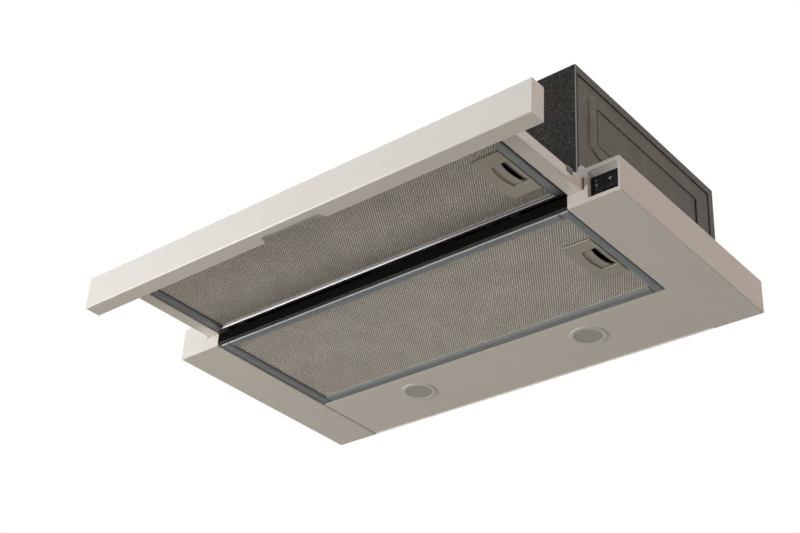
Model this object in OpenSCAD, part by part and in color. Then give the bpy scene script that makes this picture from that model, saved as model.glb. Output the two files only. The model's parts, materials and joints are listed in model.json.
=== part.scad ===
// Pull out range hood for a 60 cm wall cabinet, drawn with its drawer pulled out.
// Origin: middle of the bottom edge of the back, where the hood meets the wall.
// X runs to the right seen from the front, Y runs back to the wall, Z runs up. Millimetres.

/* [Body] */
// Width across both cheeks
body_w = 600; // [560:5:900]
// Depth from the front of the cheeks to the wall
body_d = 280; // [270:1:330]
// Width of each side cheek
cheek_w = 60; // [58:1:80]
// Height of the cheeks above the underside
cheek_h = 40; // [40:1:50]
// Thickness of the steel sheet
sheet = 1; // [0.8:0.1:1.2]
// Outside radius of the long folds
fold_r = 1.5; // [1:0.1:2.5]
// Depth of the lamp panel behind the rear filter
light_d = 97.4; // [80:0.1:110]
// Height of the lamp panel above the underside
light_lift = 1; // [0.5:0.1:2]
// Width of the foot that the motor box stands on
foot_w = 24; // [20:1:30]
// Distance from the front to the first press notch in a cheek's top edge
notch_first = 34.5; // [20:0.5:50]
// Spacing of the press notches
notch_pitch = 106.5; // [90:0.5:110]

/* [Motor box] */
// How far the motor box reaches over each cheek
box_over = 10; // [4:0.5:14]
// Height of the motor box top above the underside
box_h = 177; // [175:1:220]
// How far the box front stands behind the front of the cheeks
box_setback = 2; // [1.5:0.1:8]
// Width of the edge folded over the side plates at the top and back
lip_w = 10; // [8:0.5:14]
// Width of the edge folded over the side plates at the front
front_lip_w = 4; // [3:0.5:8]
// Distance from the box edges to the raised pressing in a side plate
press_margin = 24; // [20:1:30]
// Height of the raised pressing
press_h = 79; // [70:1:90]
// How far the pressing stands out
press_out = 1.2; // [0.6:0.1:1.8]
// Corner radius of the raised pressing
press_r = 20; // [12:1:28]
// Width of the rim round the sunk middle of the pressing
press_rim = 16; // [12:1:20]

/* [Drawer] */
// How far the drawer pulls out
pull_out = 125; // [90:1:128]
// Height of the fascia
fascia_h = 39; // [38:0.5:48]
// Depth of the fascia from front to back
fascia_t = 19; // [16:0.5:26]
// Wall of the fascia
fascia_wall = 1.2; // [1:0.1:1.6]
// Gap between the fascia and the cheeks with the drawer shut
shut_gap = 0.3; // [0.2:0.1:1]
// Width of a drawer arm
arm_w = 18.8; // [17:0.1:22]
// Height of a drawer arm
arm_h = 14; // [12:0.1:14.5]
// Wall of a drawer arm
arm_wall = 1; // [0.8:0.1:1.2]
// Depth of the ledge behind the fascia
ledge_d = 8.6; // [4:0.1:12]
// Length of the tube of a drawer arm behind the fascia
arm_len = 237; // [225:1:240]
// Height of the step that carries the arms
step_h = 16; // [15.5:0.1:17]
// Running gap on each side of an arm in its channel
slide_gap = 0.3; // [0.2:0.05:0.5]
// Length of the plastic shoe behind each arm
shoe_len = 12; // [8:1:16]
// Width of the finger grip under the fascia
grip_w = 83; // [60:1:120]
// Depth of the finger grip
grip_d = 10; // [8:0.5:12]
// Slant of the ends of the finger grip
grip_slant = 3; // [1:0.5:5]
// Height of the finger grip
grip_h = 7; // [6:0.5:10]

/* [Filters] */
// Visible width of the filter frame
border = 12.4; // [10:0.1:15]
// Height of a filter frame
frame_h = 9; // [8:0.1:10]
// Wall of the filter frame
frame_wall = 1; // [0.8:0.1:1.4]
// Gap between a filter and the sheets beside it
filter_gap = 0.5; // [0.3:0.1:0.8]
// Thickness of the mesh pack
mesh_t = 4.5; // [3:0.1:5]
// Distance between openings across the mesh
mesh_pitch_x = 18; // [17:0.5:30]
// Distance between rows of openings
mesh_pitch_y = 16; // [15:0.5:30]
// Width of the ribs between openings
mesh_rib = 3; // [2:0.5:5]

/* [Catches] */
// Width of the handle plate
plate_w = 35.4; // [35:0.1:42]
// Length of the handle plate
plate_len = 71; // [68:0.5:80]
// Thickness of the handle plate
plate_t = 1.5; // [1.2:0.1:2]
// Width of the finger window
window_w = 18.3; // [17:0.1:20]
// Length of the finger window
window_len = 40; // [36:0.5:42]
// Distance from the right edge of the plate to the window
window_edge = 2; // [1.5:0.1:4]
// Width of a catch bolt
bolt_w = 5; // [4:0.1:6]
// Distance of a catch bolt from the middle of the filter
bolt_off = 24; // [23.5:0.1:26]
// How far a catch bolt slides
bolt_travel = 3; // [2:0.1:3.5]
// Thickness of the catch slider
slider_t = 3.4; // [3:0.1:4]
// Outside diameter of the catch spring
spring_d = 2.8; // [2:0.1:3]
// Wire diameter of the catch spring
spring_wire = 0.5; // [0.4:0.05:0.6]
// Turns of the catch spring
spring_turns = 5; // [4:1:5]

/* [Lamps] */
// Distance between the two lamps
lamp_pitch = 240; // [180:1:300]
// Distance from the wall to the lamps
lamp_back = 61; // [40:0.5:70]
// Outside diameter of a lamp ring
lamp_d = 42; // [38:0.5:50]
// Diameter of a lamp glass
lens_d = 31; // [26:0.5:33]
// Diameter of the lamp holes in the panel
lamp_hole_d = 36.6; // [35:0.1:37.5]
// Height of a lamp body
lamp_body_h = 20; // [14:1:30]

/* [Switches] */
// Width of the switch recess
recess_w = 34; // [32:0.1:35]
// Height of the switch recess
recess_h = 30.5; // [29:0.1:31]
// Depth of the switch recess
recess_d = 6; // [4:0.1:8]
// Drop of the sloping roof of the recess
recess_drop = 4.2; // [2:0.1:4.4]
// Distance from the outside of the cheek to the recess
recess_edge = 2.7; // [2.6:0.1:2.9]
// Height of the recess above the underside
recess_z = 4.5; // [4:0.1:5]
// Width of a rocker
rocker_w = 12; // [10:0.1:12.2]
// Height of a rocker
rocker_h = 18; // [14:0.1:18.4]
// How far the ends of a rocker stand out of the switch plate
rocker_out = 1.2; // [0.6:0.1:1.6]
// Play between a rocker and the switch around it
rocker_gap = 0.3; // [0.2:0.05:0.4]
// Angle that the light rocker leans at rest
rocker_lean = 8; // [4:1:9]
// Depth of a switch body
switch_d = 19; // [15:0.5:24]
// Thickness of the black rim of a switch
bezel_t = 1.5; // [1:0.1:2]

/* [Blower] */
// Diameter of the fan wheel
wheel_d = 88; // [80:1:90]
// Width of the fan wheel
wheel_w = 100; // [70:1:104]
// Number of blades on each side of the wheel
blades = 36; // [20:1:40]
// Radial depth of a blade
blade_d = 8; // [6:0.5:10]
// Thickness of a blade
blade_t = 0.8; // [0.6:0.1:1.2]
// Diameter of the motor shaft
shaft_d = 8; // [6:0.5:10]
// Inside width of the fan housing
scroll_w = 120; // [112:1:130]
// Radius of the fan housing at its tongue
scroll_r0 = 49; // [48:0.5:52]
// Radius of the fan housing at its outlet
scroll_r1 = 70; // [66:0.5:72]
// Angle of the tongue above the fan centre
tongue_angle = 60; // [50:1:65]
// Distance of the fan centre behind the front of the cheeks
fan_y = 95; // [85:1:100]
// Distance of the fan centre below the top of the motor box
fan_drop = 69; // [65:1:69]
// Radius at the throat of an inlet
inlet_r = 37; // [34:0.5:38]
// Radius of the rolled lip of an inlet
inlet_lip = 6; // [4:0.5:7]
// Radius of the motor
motor_r = 38; // [34:0.5:42]
// Length of the stator
stator_len = 24; // [18:1:30]
// Length of each end shield
shield_len = 12; // [11:0.5:16]
// Distance of the motor from the fan housing
motor_gap = 23; // [18:1:28]
// Radial running clearance of the shaft
bearing_gap = 0.05; // [0.02:0.01:0.08]

/* [Outlet] */
// Outside diameter of the duct spigot
spigot_d = 120; // [100:1:125]
// Height of the spigot above the box
spigot_h = 32; // [26:1:36]
// Wall of the spigot
spigot_wall = 2.5; // [2:0.1:3]
// Width of the flange round the spigot
spigot_rim = 14; // [10:1:16]
// Thickness of a flap
flap_t = 1.2; // [1:0.1:2]
// Diameter of the flap pin
flap_pin_d = 3; // [2:0.5:4]
// Height of the flap pin above the box
flap_z = 9; // [8:0.5:12]

/* [Fixings] */
// Diameter of the cabinet fixing holes
fix_d = 5; // [4:0.5:6]
// Distance of the fixing holes from the outside of a cheek
fix_in = 20; // [15:0.5:22]
// Distance between the fixing holes from front to back
fix_y = 180; // [120:1:190]
// Distance from the wall to the rear fixing holes
fix_back = 40; // [30:1:60]
// Distance from the front to the front foot screws
foot_screw_front = 40; // [30:1:60]
// Distance from the wall to the rear foot screws
foot_screw_back = 40; // [30:1:60]
// Distance of the cable bush from the left side of the motor box
bush_in = 84; // [60:1:100]
// Distance of the cable bush from the wall
bush_back = 26; // [20:1:34]
// Bore of the cable bush
cable_d = 7.5; // [6:0.5:9]
// Length of the cable bush
bush_len = 14; // [12:1:18]
// Width of the terminal box
terminal_w = 90; // [70:1:100]
// Depth of the terminal box
terminal_d = 38; // [30:1:45]
// Height of the terminal box
terminal_h = 49; // [40:1:60]
// Distance of the terminal box below the top of the motor box
terminal_drop = 16; // [12:1:24]
// Diameter of the capacitor
capacitor_d = 26; // [20:1:30]
// Length of the capacitor
capacitor_len = 80; // [60:1:90]
// Diameter of the small screws
screw_d = 3; // [2.5:0.1:3.5]

/* [Hidden] */
$fn = 64;
eps = 0.01;
touch = 0.2;            // small assembly gap between two sheets
snug = 0.02;            // gap of a pressed seat
notch = 1.3;            // size of a press notch

half_w = body_w / 2;
inner_x = half_w - cheek_w;                 // inner face of a cheek
channel_x = inner_x + arm_w + 2 * slide_gap; // outer wall of the arm channel
box_x = inner_x + box_over;                 // half width of the motor box
side_x = box_x - sheet;                     // outer face of a box side plate
flange_x = side_x + sheet - foot_w;         // inner edge of a cheek's top flange
box_y = box_setback;
light_y = body_d - light_d;                 // front edge of the lamp panel
panel_x = inner_x - slide_gap;              // half width of the sheets between the cheeks

fascia_back_y = -pull_out - shut_gap;       // back face of the fascia, drawer out
fascia_front_y = fascia_back_y - fascia_t;
arm_x = inner_x + slide_gap;
arm_z = step_h + slide_gap;
arm_end_y = fascia_back_y + arm_len;
rail_y = -3.2;                              // front face of the drawer's rear rail
guide_z = arm_z + arm_h + 0.7;              // underside of a slide guide
guide_x0 = arm_x + touch;
guide_x1 = channel_x - touch;
guide_len = 14;
guide_wall = 2;
ear_r = 3.4;
ear_t = 2;
ear_top = cheek_h + 5.5;
stop_r = 2;
skirt_z = guide_z + 0.5;                    // lower edge of the front stretcher
stretcher_d = 22;                           // depth of its flange under the box
shoe_plug = 15;                             // part of a shoe inside its arm
rail_d = 9;                                 // depth of the flange of the drawer's rail

bar_y0 = 0.2;                               // front bar under the box
bar_y1 = 2.6;
rear_filter_y0 = bar_y1 + 0.4;
rear_filter_y1 = light_y - 0.6;
rear_filter_z = light_lift;
front_filter_y0 = fascia_back_y + ledge_d + touch;
front_filter_y1 = rail_y - touch;
front_filter_z = arm_z + touch;
rear_filter = [rear_filter_y0, rear_filter_y1, rear_filter_z];
front_filter = [front_filter_y0, front_filter_y1, front_filter_z];
frame_x = inner_x - filter_gap;             // half width of a filter

plate_x1 = frame_x - border - touch;        // right edge of a handle plate
plate_x0 = plate_x1 - plate_w;
plate_lift = 0.2;                           // handle plate above the filter's face
window_x1 = plate_x1 - window_edge;
window_x0 = window_x1 - window_w;
slider_z = plate_lift + plate_t + 0.3;
slider_x0 = plate_x0 + bolt_travel + 2;
slider_rim = 1.2;
rib_t = 1.2;
lip_x = window_x1 - 8.6;                    // right face of the finger lip
bolt_tip = filter_gap + 2;                  // bolt beyond the filter frame
bolt_play = 0.3;
rib_x = slider_x0 + slider_rim + bolt_play + rib_t; // fixed rib that the catch spring pushes on
spring_x0 = rib_x + 0.1;
spring_x1 = window_x0 - 0.7;

recess_x1 = half_w - recess_edge;
recess_x0 = recess_x1 - recess_w;
switch_wall = 1.2;
rocker_pitch = recess_w / 2;
rocker_z = recess_z + (recess_h - recess_drop) / 2;
rocker_pivot_y = recess_d + 5.5;
rocker_pin_r = 1;

fan_z = box_h - fan_drop;
tongue_y = fan_y + scroll_r0 * cos(tongue_angle);
spigot_y = (tongue_y + fan_y + scroll_r1) / 2;
spigot_r = spigot_d / 2;
spigot_bore = spigot_r - spigot_wall;
neck_top = box_h - sheet - 1.2;             // underside of the outlet flange
scroll_side_x = scroll_w / 2;
motor_x = scroll_side_x + sheet + motor_gap; // inner face of the motor
stator_x = motor_x + shield_len;
motor_end = stator_x + stator_len + shield_len;
bearing_r = shaft_d / 2 + 4;
rotor_r = motor_r - 16;

foot_screw_x = flange_x + 6;
foot_screws = [for (x = [-1, 1], y = [foot_screw_front, body_d - foot_screw_back]) [x * foot_screw_x, y]];
fixing_rows = [body_d - fix_back - fix_y, body_d - fix_back];
arm_screws = [
  for (side = [-1, 1], x = [-1, 1]) [side * (arm_x + arm_w / 2 + x * (screw_d + 1)), arm_z + arm_h / 2]
];
flange_half = spigot_r + 12;                // half size of the outlet flange
flap_rib_x = 28;                            // ribs that stiffen a flap
top_screws = [for (x = [-1, 1], y = [-1, 1]) [x * (flange_half - 6), spigot_y + y * (flange_half - 6)]];
bush_x = bush_in - box_x;
bush_y = body_d - bush_back;
terminal_z = box_h - terminal_drop - terminal_h;
capacitor_y = body_d - sheet - capacitor_d / 2 - 3;
capacitor_z = terminal_z - capacitor_d / 2 - 0.3;

painted = "gainsboro";
zinc = "dimgray";
alloy = "lightslategray";
mesh_grey = "darkgray";
plastic_white = "whitesmoke";
plastic_grey = "gray";
plastic_black = [0.08, 0.08, 0.09];
steel = "silver";
copper = "peru";
glass_white = "aliceblue";

// Moves a piece drawn from the front of the cheeks back to the wall frame
module placed() translate([0, -body_d, 0]) children();

// Extrudes a drawing of x and z from y0 to y1
module along_y(y0, y1) translate([0, y1, 0]) rotate([90, 0, 0]) linear_extrude(y1 - y0) children();

// Extrudes a drawing of y and z from x0 to x1
module along_x(x0, x1) translate([x0, 0, 0]) rotate([90, 0, 90]) linear_extrude(x1 - x0) children();

// Block between two corners
module block(low, high) translate(low) cube(high - low);

// Rectangle between two corners
module panel(low, high) translate(low) square(high - low);

// Draws its children and their mirror image across x
module both_sides() {
  children();
  mirror([1, 0, 0]) children();
}

// What a round corner takes off: sx and sy point from the corner into the shape
module corner_waste(x, y, r, sx, sy)
  translate([x, y])
    mirror([sx < 0 ? 1 : 0, 0, 0])
      mirror([0, sy < 0 ? 1 : 0, 0])
        difference() {
          translate([-eps, -eps]) square(r + eps);
          translate([r, r]) circle(r);
        }

// Rounded rectangle between two corners
module round_panel(low, high, r)
  difference() {
    panel(low, high);
    corner_waste(low[0], low[1], r, 1, 1);
    corner_waste(high[0], low[1], r, -1, 1);
    corner_waste(low[0], high[1], r, 1, -1);
    corner_waste(high[0], high[1], r, -1, -1);
  }

// Vertical cylinder from z0 to z1
module post(x, y, z0, z1, r) translate([x, y, z0]) cylinder(r = r, h = z1 - z0);

// Cylinder along x from x0 to x1
module rod_x(x0, x1, y, z, r) translate([x0, y, z]) rotate([0, 90, 0]) cylinder(r = r, h = x1 - x0);

// Cylinder along y from y0 to y1
module rod_y(x, y0, y1, z, r) translate([x, y1, z]) rotate([90, 0, 0]) cylinder(r = r, h = y1 - y0);

// Pan head screw pointing down, its head seated at z
module screw_down(x, y, z, grip) {
  post(x, y, z - grip, z, screw_d / 2);
  post(x, y, z, z + screw_d * 0.8, screw_d);
}

// Pan head screw pointing back, its head seated at y
module screw_back(x, y, z, grip) {
  rod_y(x, y, y + grip, z, screw_d / 2);
  rod_y(x, y - screw_d * 0.6, y, z, screw_d * 0.95);
}

// Section of a right cheek with its arm channel and top flange
module cheek_section()
  difference() {
    polygon([
      [inner_x, 0], [half_w, 0], [half_w, cheek_h], [flange_x, cheek_h],
      [flange_x, cheek_h - sheet], [channel_x, cheek_h - sheet], [channel_x, step_h], [inner_x, step_h]
    ]);
    polygon([
      [inner_x + sheet, sheet], [half_w - sheet, sheet], [half_w - sheet, cheek_h - sheet],
      [channel_x + sheet, cheek_h - sheet], [channel_x + sheet, step_h - sheet],
      [inner_x + sheet, step_h - sheet]
    ]);
    corner_waste(half_w, 0, fold_r, -1, 1);
    corner_waste(half_w, cheek_h, fold_r, -1, -1);
    corner_waste(inner_x, 0, fold_r, 1, 1);
  }

// Front plate of a cheek, stepped round the end of the arm channel
module cheek_front()
  difference() {
    union() {
      panel([inner_x, 0], [half_w, step_h]);
      panel([channel_x, 0], [half_w, cheek_h]);
    }
    corner_waste(half_w, 0, fold_r, -1, 1);
    corner_waste(half_w, cheek_h, fold_r, -1, -1);
    corner_waste(inner_x, 0, fold_r, 1, 1);
  }

// Slots that take the tabs or bolts of a filter, in a wall at x
module catch_slots(x, wall, mid_y, z)
  for (side = [-1, 1])
    block(
      [x - eps, mid_y + side * bolt_off - bolt_w / 2 - bolt_play, z + slider_z - bolt_play],
      [x + wall + eps, mid_y + side * bolt_off + bolt_w / 2 + bolt_play, z + slider_z + slider_t + bolt_play]
    );

// Right cheek without its switch opening
module cheek()
  difference() {
    union() {
      along_y(0, body_d) cheek_section();
      along_y(0, sheet) cheek_front();
      along_y(body_d - sheet, body_d)
        difference() {
          panel([inner_x, 0], [half_w, cheek_h]);
          corner_waste(half_w, 0, fold_r, -1, 1);
          corner_waste(half_w, cheek_h, fold_r, -1, -1);
          corner_waste(inner_x, 0, fold_r, 1, 1);
        }
    }
    catch_slots(inner_x, sheet, (rear_filter_y0 + rear_filter_y1) / 2, rear_filter_z);
    for (n = [0:2])
      block(
        [half_w - notch, notch_first + n * notch_pitch - notch, cheek_h - notch],
        [half_w + eps, notch_first + n * notch_pitch + notch, cheek_h + eps]
      );
    block([guide_x1 - 2 * ear_r - touch, -eps, step_h], [channel_x, ear_t + 2 * touch, cheek_h + eps]);
    for (y = fixing_rows) post(half_w - fix_in, y, cheek_h - 2 * sheet, cheek_h + eps, fix_d / 2);
    for (p = foot_screws)
      if (p[0] > 0) post(p[0], p[1], cheek_h - 2 * sheet, cheek_h + eps, screw_d / 2 + snug);
  }

module cheek_left() color(painted) placed() mirror([1, 0, 0]) cheek();

module cheek_right()
  color(painted)
    placed()
      difference() {
        cheek();
        block([recess_x0, -eps, recess_z], [recess_x1, sheet + eps, recess_z + recess_h]);
      }

// Panel behind the rear filter, folded up all round, with two lamp holes
module light_panel()
  color(painted)
    placed()
      difference() {
        union() {
          block([-panel_x, light_y, light_lift], [panel_x, body_d, light_lift + sheet]);
          block([-panel_x, light_y, light_lift], [panel_x, light_y + sheet, light_lift + 14]);
          both_sides()
            block([panel_x - sheet, light_y, light_lift], [panel_x, body_d, light_lift + 12]);
          block([-panel_x, body_d - sheet, 0], [panel_x, body_d, cheek_h - sheet]);
          block([-flange_x + touch, body_d - 18, cheek_h - sheet], [flange_x - touch, body_d, cheek_h]);
        }
        both_sides() post(lamp_pitch / 2, body_d - lamp_back, 0, 2 * light_lift + sheet, lamp_hole_d / 2);
      }

// Bar across the front of the rear filter opening
module front_bar()
  color(zinc)
    placed()
      difference() {
        union() {
          block([-panel_x, bar_y0, 2.7], [panel_x, bar_y1, 2.7 + sheet]);
          block([-panel_x, bar_y1 - sheet, 2.7], [panel_x, bar_y1, step_h - 1.8]);
        }
        both_sides()
          for (x = [8.5, 21.5]) post(inner_x - x, (bar_y0 + bar_y1) / 2 - 0.3, 2, 4.7, 0.7);
      }

// Foam strip that the drawer slides over
module drawer_seal()
  color(plastic_black)
    placed()
      block([-panel_x, bar_y0 + touch, 2.9 + sheet], [panel_x, bar_y1 - sheet, step_h - 0.3]);

// Angle that ties the cheeks under the box front
module front_stretcher()
  color(zinc)
    placed() {
      block([-flange_x, bar_y0, skirt_z], [flange_x, bar_y0 + sheet, cheek_h]);
      block([-flange_x, bar_y0, cheek_h - sheet], [flange_x, bar_y0 + stretcher_d, cheek_h]);
    }

// Front, top and back of the motor box in one bent sheet, lipped over the side plates
module box_wrap()
  color(zinc)
    placed()
      difference() {
        union() {
          along_x(-box_x, box_x)
            difference() {
              panel([box_y, cheek_h], [body_d, box_h]);
              panel([box_y + sheet, cheek_h - 1], [body_d - sheet, box_h - sheet]);
            }
          both_sides()
            along_x(box_x - sheet, box_x)
              difference() {
                panel([box_y, cheek_h], [body_d, box_h]);
                panel([box_y + front_lip_w, cheek_h - 1], [body_d - lip_w, box_h - lip_w]);
              }
          for (y = [box_y, body_d - 14])
            block([-flange_x + touch, y, cheek_h], [flange_x - touch, y + 14, cheek_h + sheet]);
        }
        both_sides() lip_mitres();
        post(0, spigot_y, box_h - 2 * sheet, box_h + eps, spigot_r + 0.5);
        post(bush_x, bush_y, box_h - 2 * sheet, box_h + eps, cable_d / 2 + 3.3);
        for (p = top_screws) post(p[0], p[1], box_h - 2 * sheet, box_h + eps, screw_d / 2 + snug);
      }

// Open joints where the lips meet at the top corners
module lip_mitres() {
  translate([box_x - sheet / 2, body_d, box_h])
    rotate([45, 0, 0])
      cube([sheet + 2 * eps, 0.5, 3 * lip_w], center = true);
  translate([box_x - sheet / 2, box_y, box_h])
    rotate([-45, 0, 0])
      cube([sheet + 2 * eps, 0.5, 3 * front_lip_w], center = true);
}

// Pad with sloping sides between two heights along x
module sloped_pad(low, high, r, x0, x1, draft)
  hull() {
    along_x(x0, x0 + eps) round_panel(low, high, r);
    along_x(x1 - eps, x1)
      round_panel(low + [draft, draft], high - [draft, draft], max(r - draft, 0.5));
  }

// Side plate of the motor box with a raised pressing and a sunk middle
module box_side() {
  low = [box_y + press_margin, box_h - press_margin + 7 - press_h];
  high = [body_d - press_margin, box_h - press_margin + 7];
  rim = [press_rim, press_rim];
  difference() {
    union() {
      along_x(side_x - sheet, side_x)
        panel([box_y + sheet + touch, cheek_h], [body_d - sheet - touch, box_h - sheet - touch]);
      block(
        [flange_x, box_y + 14 + touch, cheek_h],
        [side_x, body_d - 14 - touch, cheek_h + sheet]
      );
      sloped_pad(low, high, press_r, side_x - eps, side_x + press_out, 1.6, $fn = 32);
    }
    sloped_pad(
      low + [sheet, sheet], high - [sheet, sheet], press_r - sheet,
      side_x - sheet - eps, side_x + press_out - sheet, 1.6, $fn = 32
    );
    translate([2 * side_x + press_out + eps, 0, 0])
      mirror([1, 0, 0])
        sloped_pad(low + rim, high - rim, 3, side_x, side_x + press_out * 0.8, 1, $fn = 32);
    for (p = foot_screws)
      if (p[0] > 0) post(p[0], p[1], cheek_h - eps, cheek_h + 2 * sheet, screw_d / 2 + snug);
  }
}

module box_side_right() color(zinc) placed() box_side();
module box_side_left() color(zinc) placed() mirror([1, 0, 0]) box_side();

// Plastic guide over an arm at the mouth of its channel, with a round ear
module slide_guide() {
  difference() {
    block([guide_x0, touch, guide_z], [guide_x1, touch + guide_len, cheek_h - sheet]);
    block(
      [guide_x0 + guide_wall, touch + 2 * guide_wall, guide_z + guide_wall],
      [guide_x1 - guide_wall, touch + guide_len + eps, cheek_h]
    );
  }
  along_y(touch, touch + ear_t) {
    panel([guide_x1 - 2 * ear_r, guide_z], [guide_x1, ear_top - ear_r]);
    translate([guide_x1 - ear_r, ear_top - ear_r]) circle(ear_r);
  }
}

module slide_guide_right() color(plastic_white) placed() slide_guide();
module slide_guide_left() color(plastic_white) placed() mirror([1, 0, 0]) slide_guide();

// Pins under the cheek flanges that stop the shoes when the drawer is out
module drawer_stops()
  color(steel)
    placed()
      both_sides()
        post(arm_x + arm_w / 2, arm_end_y - slide_gap - stop_r, guide_z, cheek_h - sheet, stop_r);

// Flat ring of the filter frame, its inner edge in by inset
module frame_ring(y0, y1, inset)
  difference() {
    panel([-frame_x, y0], [frame_x, y1]);
    panel([-frame_x + inset, y0 + inset], [frame_x - inset, y1 - inset]);
  }

// Folded aluminium frame of a filter, with two tabs on the left and two slots on the right
module filter_frame(place) {
  y0 = place[0];
  y1 = place[1];
  z = place[2];
  mid = (y0 + y1) / 2;
  difference() {
    translate([0, 0, z]) {
      linear_extrude(frame_wall) frame_ring(y0, y1, border);
      linear_extrude(frame_h) frame_ring(y0, y1, frame_wall);
      translate([0, 0, frame_h - frame_wall]) linear_extrude(frame_wall) frame_ring(y0, y1, border - 4);
    }
    catch_slots(frame_x - frame_wall, frame_wall, mid, z);
  }
  for (side = [-1, 1])
    translate([-frame_x - bolt_tip, mid + side * bolt_off - bolt_w / 2, z + slider_z])
      cube([bolt_tip + frame_wall / 2, bolt_w, slider_t]);
}

// Outline of a handle plate grown by a gap, its left corners drawn in
module plate_outline(mid, grow)
  polygon([
    [plate_x1 + grow, mid - plate_len / 2 - grow], [plate_x1 + grow, mid + plate_len / 2 + grow],
    [plate_x0 + 3 - grow, mid + plate_len / 2 + grow], [plate_x0 - grow, mid + plate_len / 2 - 10],
    [plate_x0 - grow, mid - plate_len / 2 + 15], [plate_x0 + 3 - grow, mid - plate_len / 2 - grow]
  ]);

// Mesh pack of a filter with staggered diamond openings, notched for the handle plate
module filter_mesh(place) {
  y0 = place[0];
  y1 = place[1];
  z = place[2];
  mid = (y0 + y1) / 2;
  mesh_x = frame_x - frame_wall - touch;
  low_y = y0 + frame_wall + touch;
  high_y = y1 - frame_wall - touch;
  edge = border + 1;
  rows = floor((y1 - y0 - 2 * edge) / mesh_pitch_y);
  columns = floor(2 * (frame_x - edge) / mesh_pitch_x - 0.5);
  translate([0, 0, z + frame_wall + touch])
    linear_extrude(mesh_t)
      difference() {
        panel([-mesh_x, low_y], [mesh_x, high_y]);
        plate_outline(mid, touch);
        panel([plate_x1 - 1, mid - plate_len / 2 - touch], [mesh_x + 1, mid + plate_len / 2 + touch]);
        for (row = [0:rows - 1], column = [0:columns - 1]) {
          x = (column - (columns - 1) / 2 + (row % 2 == 0 ? 0.25 : -0.25)) * mesh_pitch_x;
          y = mid + (row - (rows - 1) / 2) * mesh_pitch_y;
          if (x < plate_x0 - mesh_pitch_x / 2 - 1 || abs(y - mid) > (plate_len + mesh_pitch_y) / 2 + 1)
            diamond(x, y, mesh_pitch_x - mesh_rib, mesh_pitch_y - mesh_rib);
        }
      }
}

// Diamond of a given width and length
module diamond(x, y, w, len)
  polygon([[x - w / 2, y], [x, y - len / 2], [x + w / 2, y], [x, y + len / 2]]);

// Finger window with a bowed left edge
module finger_window(mid)
  intersection() {
    panel([window_x0, mid - window_len / 2], [window_x1, mid + window_len / 2]);
    translate([window_x0 + 60, mid]) circle(60, $fn = 180);
  }

// Plate that carries a filter's catch, with a rib for the spring and two hooks over the slider
module handle_plate(place) {
  mid = (place[0] + place[1]) / 2;
  top = slider_z + slider_t;
  hook_y = bolt_off + bolt_w / 2 + bolt_play;
  translate([0, 0, place[2]]) {
    translate([0, 0, plate_lift])
      linear_extrude(plate_t)
        difference() {
          plate_outline(mid, 0);
          finger_window(mid);
        }
    block([rib_x - rib_t, mid - 1.6, plate_lift], [rib_x, mid + 1.6, top]);
    for (side = [-1, 1])
      translate([0, mid, 0])
        mirror([0, side < 0 ? 1 : 0, 0]) {
          block([window_x0, hook_y, plate_lift], [window_x1, hook_y + 1.4, top + bolt_play + 1.2]);
          block([window_x0, hook_y - 2, top + bolt_play], [window_x1, hook_y + 1.4, top + bolt_play + 1.2]);
        }
  }
}

// Sliding catch: a finger lip in the window and two bolts through the right side of the frame
module latch(place) {
  slot_y = spring_d / 2 + 0.4;
  lip_len = window_len - 1;
  translate([0, (place[0] + place[1]) / 2, place[2] + slider_z]) {
    linear_extrude(slider_t)
      difference() {
        union() {
          panel([slider_x0, -bolt_off - bolt_w / 2], [slider_x0 + 12, bolt_off + bolt_w / 2]);
          panel([slider_x0, -lip_len / 2], [lip_x, lip_len / 2]);
          for (side = [-1, 1])
            panel(
              [slider_x0, side * bolt_off - bolt_w / 2],
              [frame_x + bolt_tip, side * bolt_off + bolt_w / 2]
            );
        }
        panel([slider_x0 + slider_rim, -slot_y], [spring_x1 + 0.1, slot_y]);
      }
    block([lip_x - 1.6, -lip_len / 2, 0], [lip_x, lip_len / 2, slider_t + 2.5]);
  }
}

// Point of the middle line of the catch spring at step i
coil_steps = 8;
coil_r = (spring_d - spring_wire) / 2;
coil_rise = spring_x1 - spring_x0 - spring_wire;
function coil_point(i) = [
  spring_x0 + spring_wire / 2 + coil_rise * i / (spring_turns * coil_steps),
  coil_r * cos(360 * i / coil_steps),
  coil_r * sin(360 * i / coil_steps)
];

// Least gap between the turns of the catch spring, measured on its points half a turn and more apart
coil_gap = min([
  for (i = [0:spring_turns * coil_steps], j = [i + coil_steps / 2:spring_turns * coil_steps])
    norm(coil_point(i) - coil_point(j))
]) - spring_wire;
echo(catch_spring_least_gap = coil_gap);

// Ring of points round the wire at step i
coil_sides = 6;
function coil_ring(i) = [
  for (k = [0:coil_sides - 1])
    let (b = 360 * k / coil_sides, a = 360 * i / coil_steps, w = spring_wire / 2)
      coil_point(i) + w * [sin(b), cos(b) * cos(a), cos(b) * sin(a)]
];

// Coil spring of the catch, one tube from end to end
module coil() {
  rings = spring_turns * coil_steps;
  polyhedron(
    [for (i = [0:rings]) each coil_ring(i)],
    concat(
      [[for (k = [0:coil_sides - 1]) k]],
      [
        for (i = [0:rings - 1], k = [0:coil_sides - 1])
          let (a = i * coil_sides + k, b = i * coil_sides + (k + 1) % coil_sides)
            each [[a, a + coil_sides, b], [b, a + coil_sides, b + coil_sides]]
      ],
      [[for (k = [coil_sides - 1:-1:0]) rings * coil_sides + k]]
    )
  );
}

// Spring between the rib of a handle plate and the slider
module latch_spring(place)
  translate([0, (place[0] + place[1]) / 2, place[2] + slider_z + spring_d / 2 + 0.1]) coil();

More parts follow.
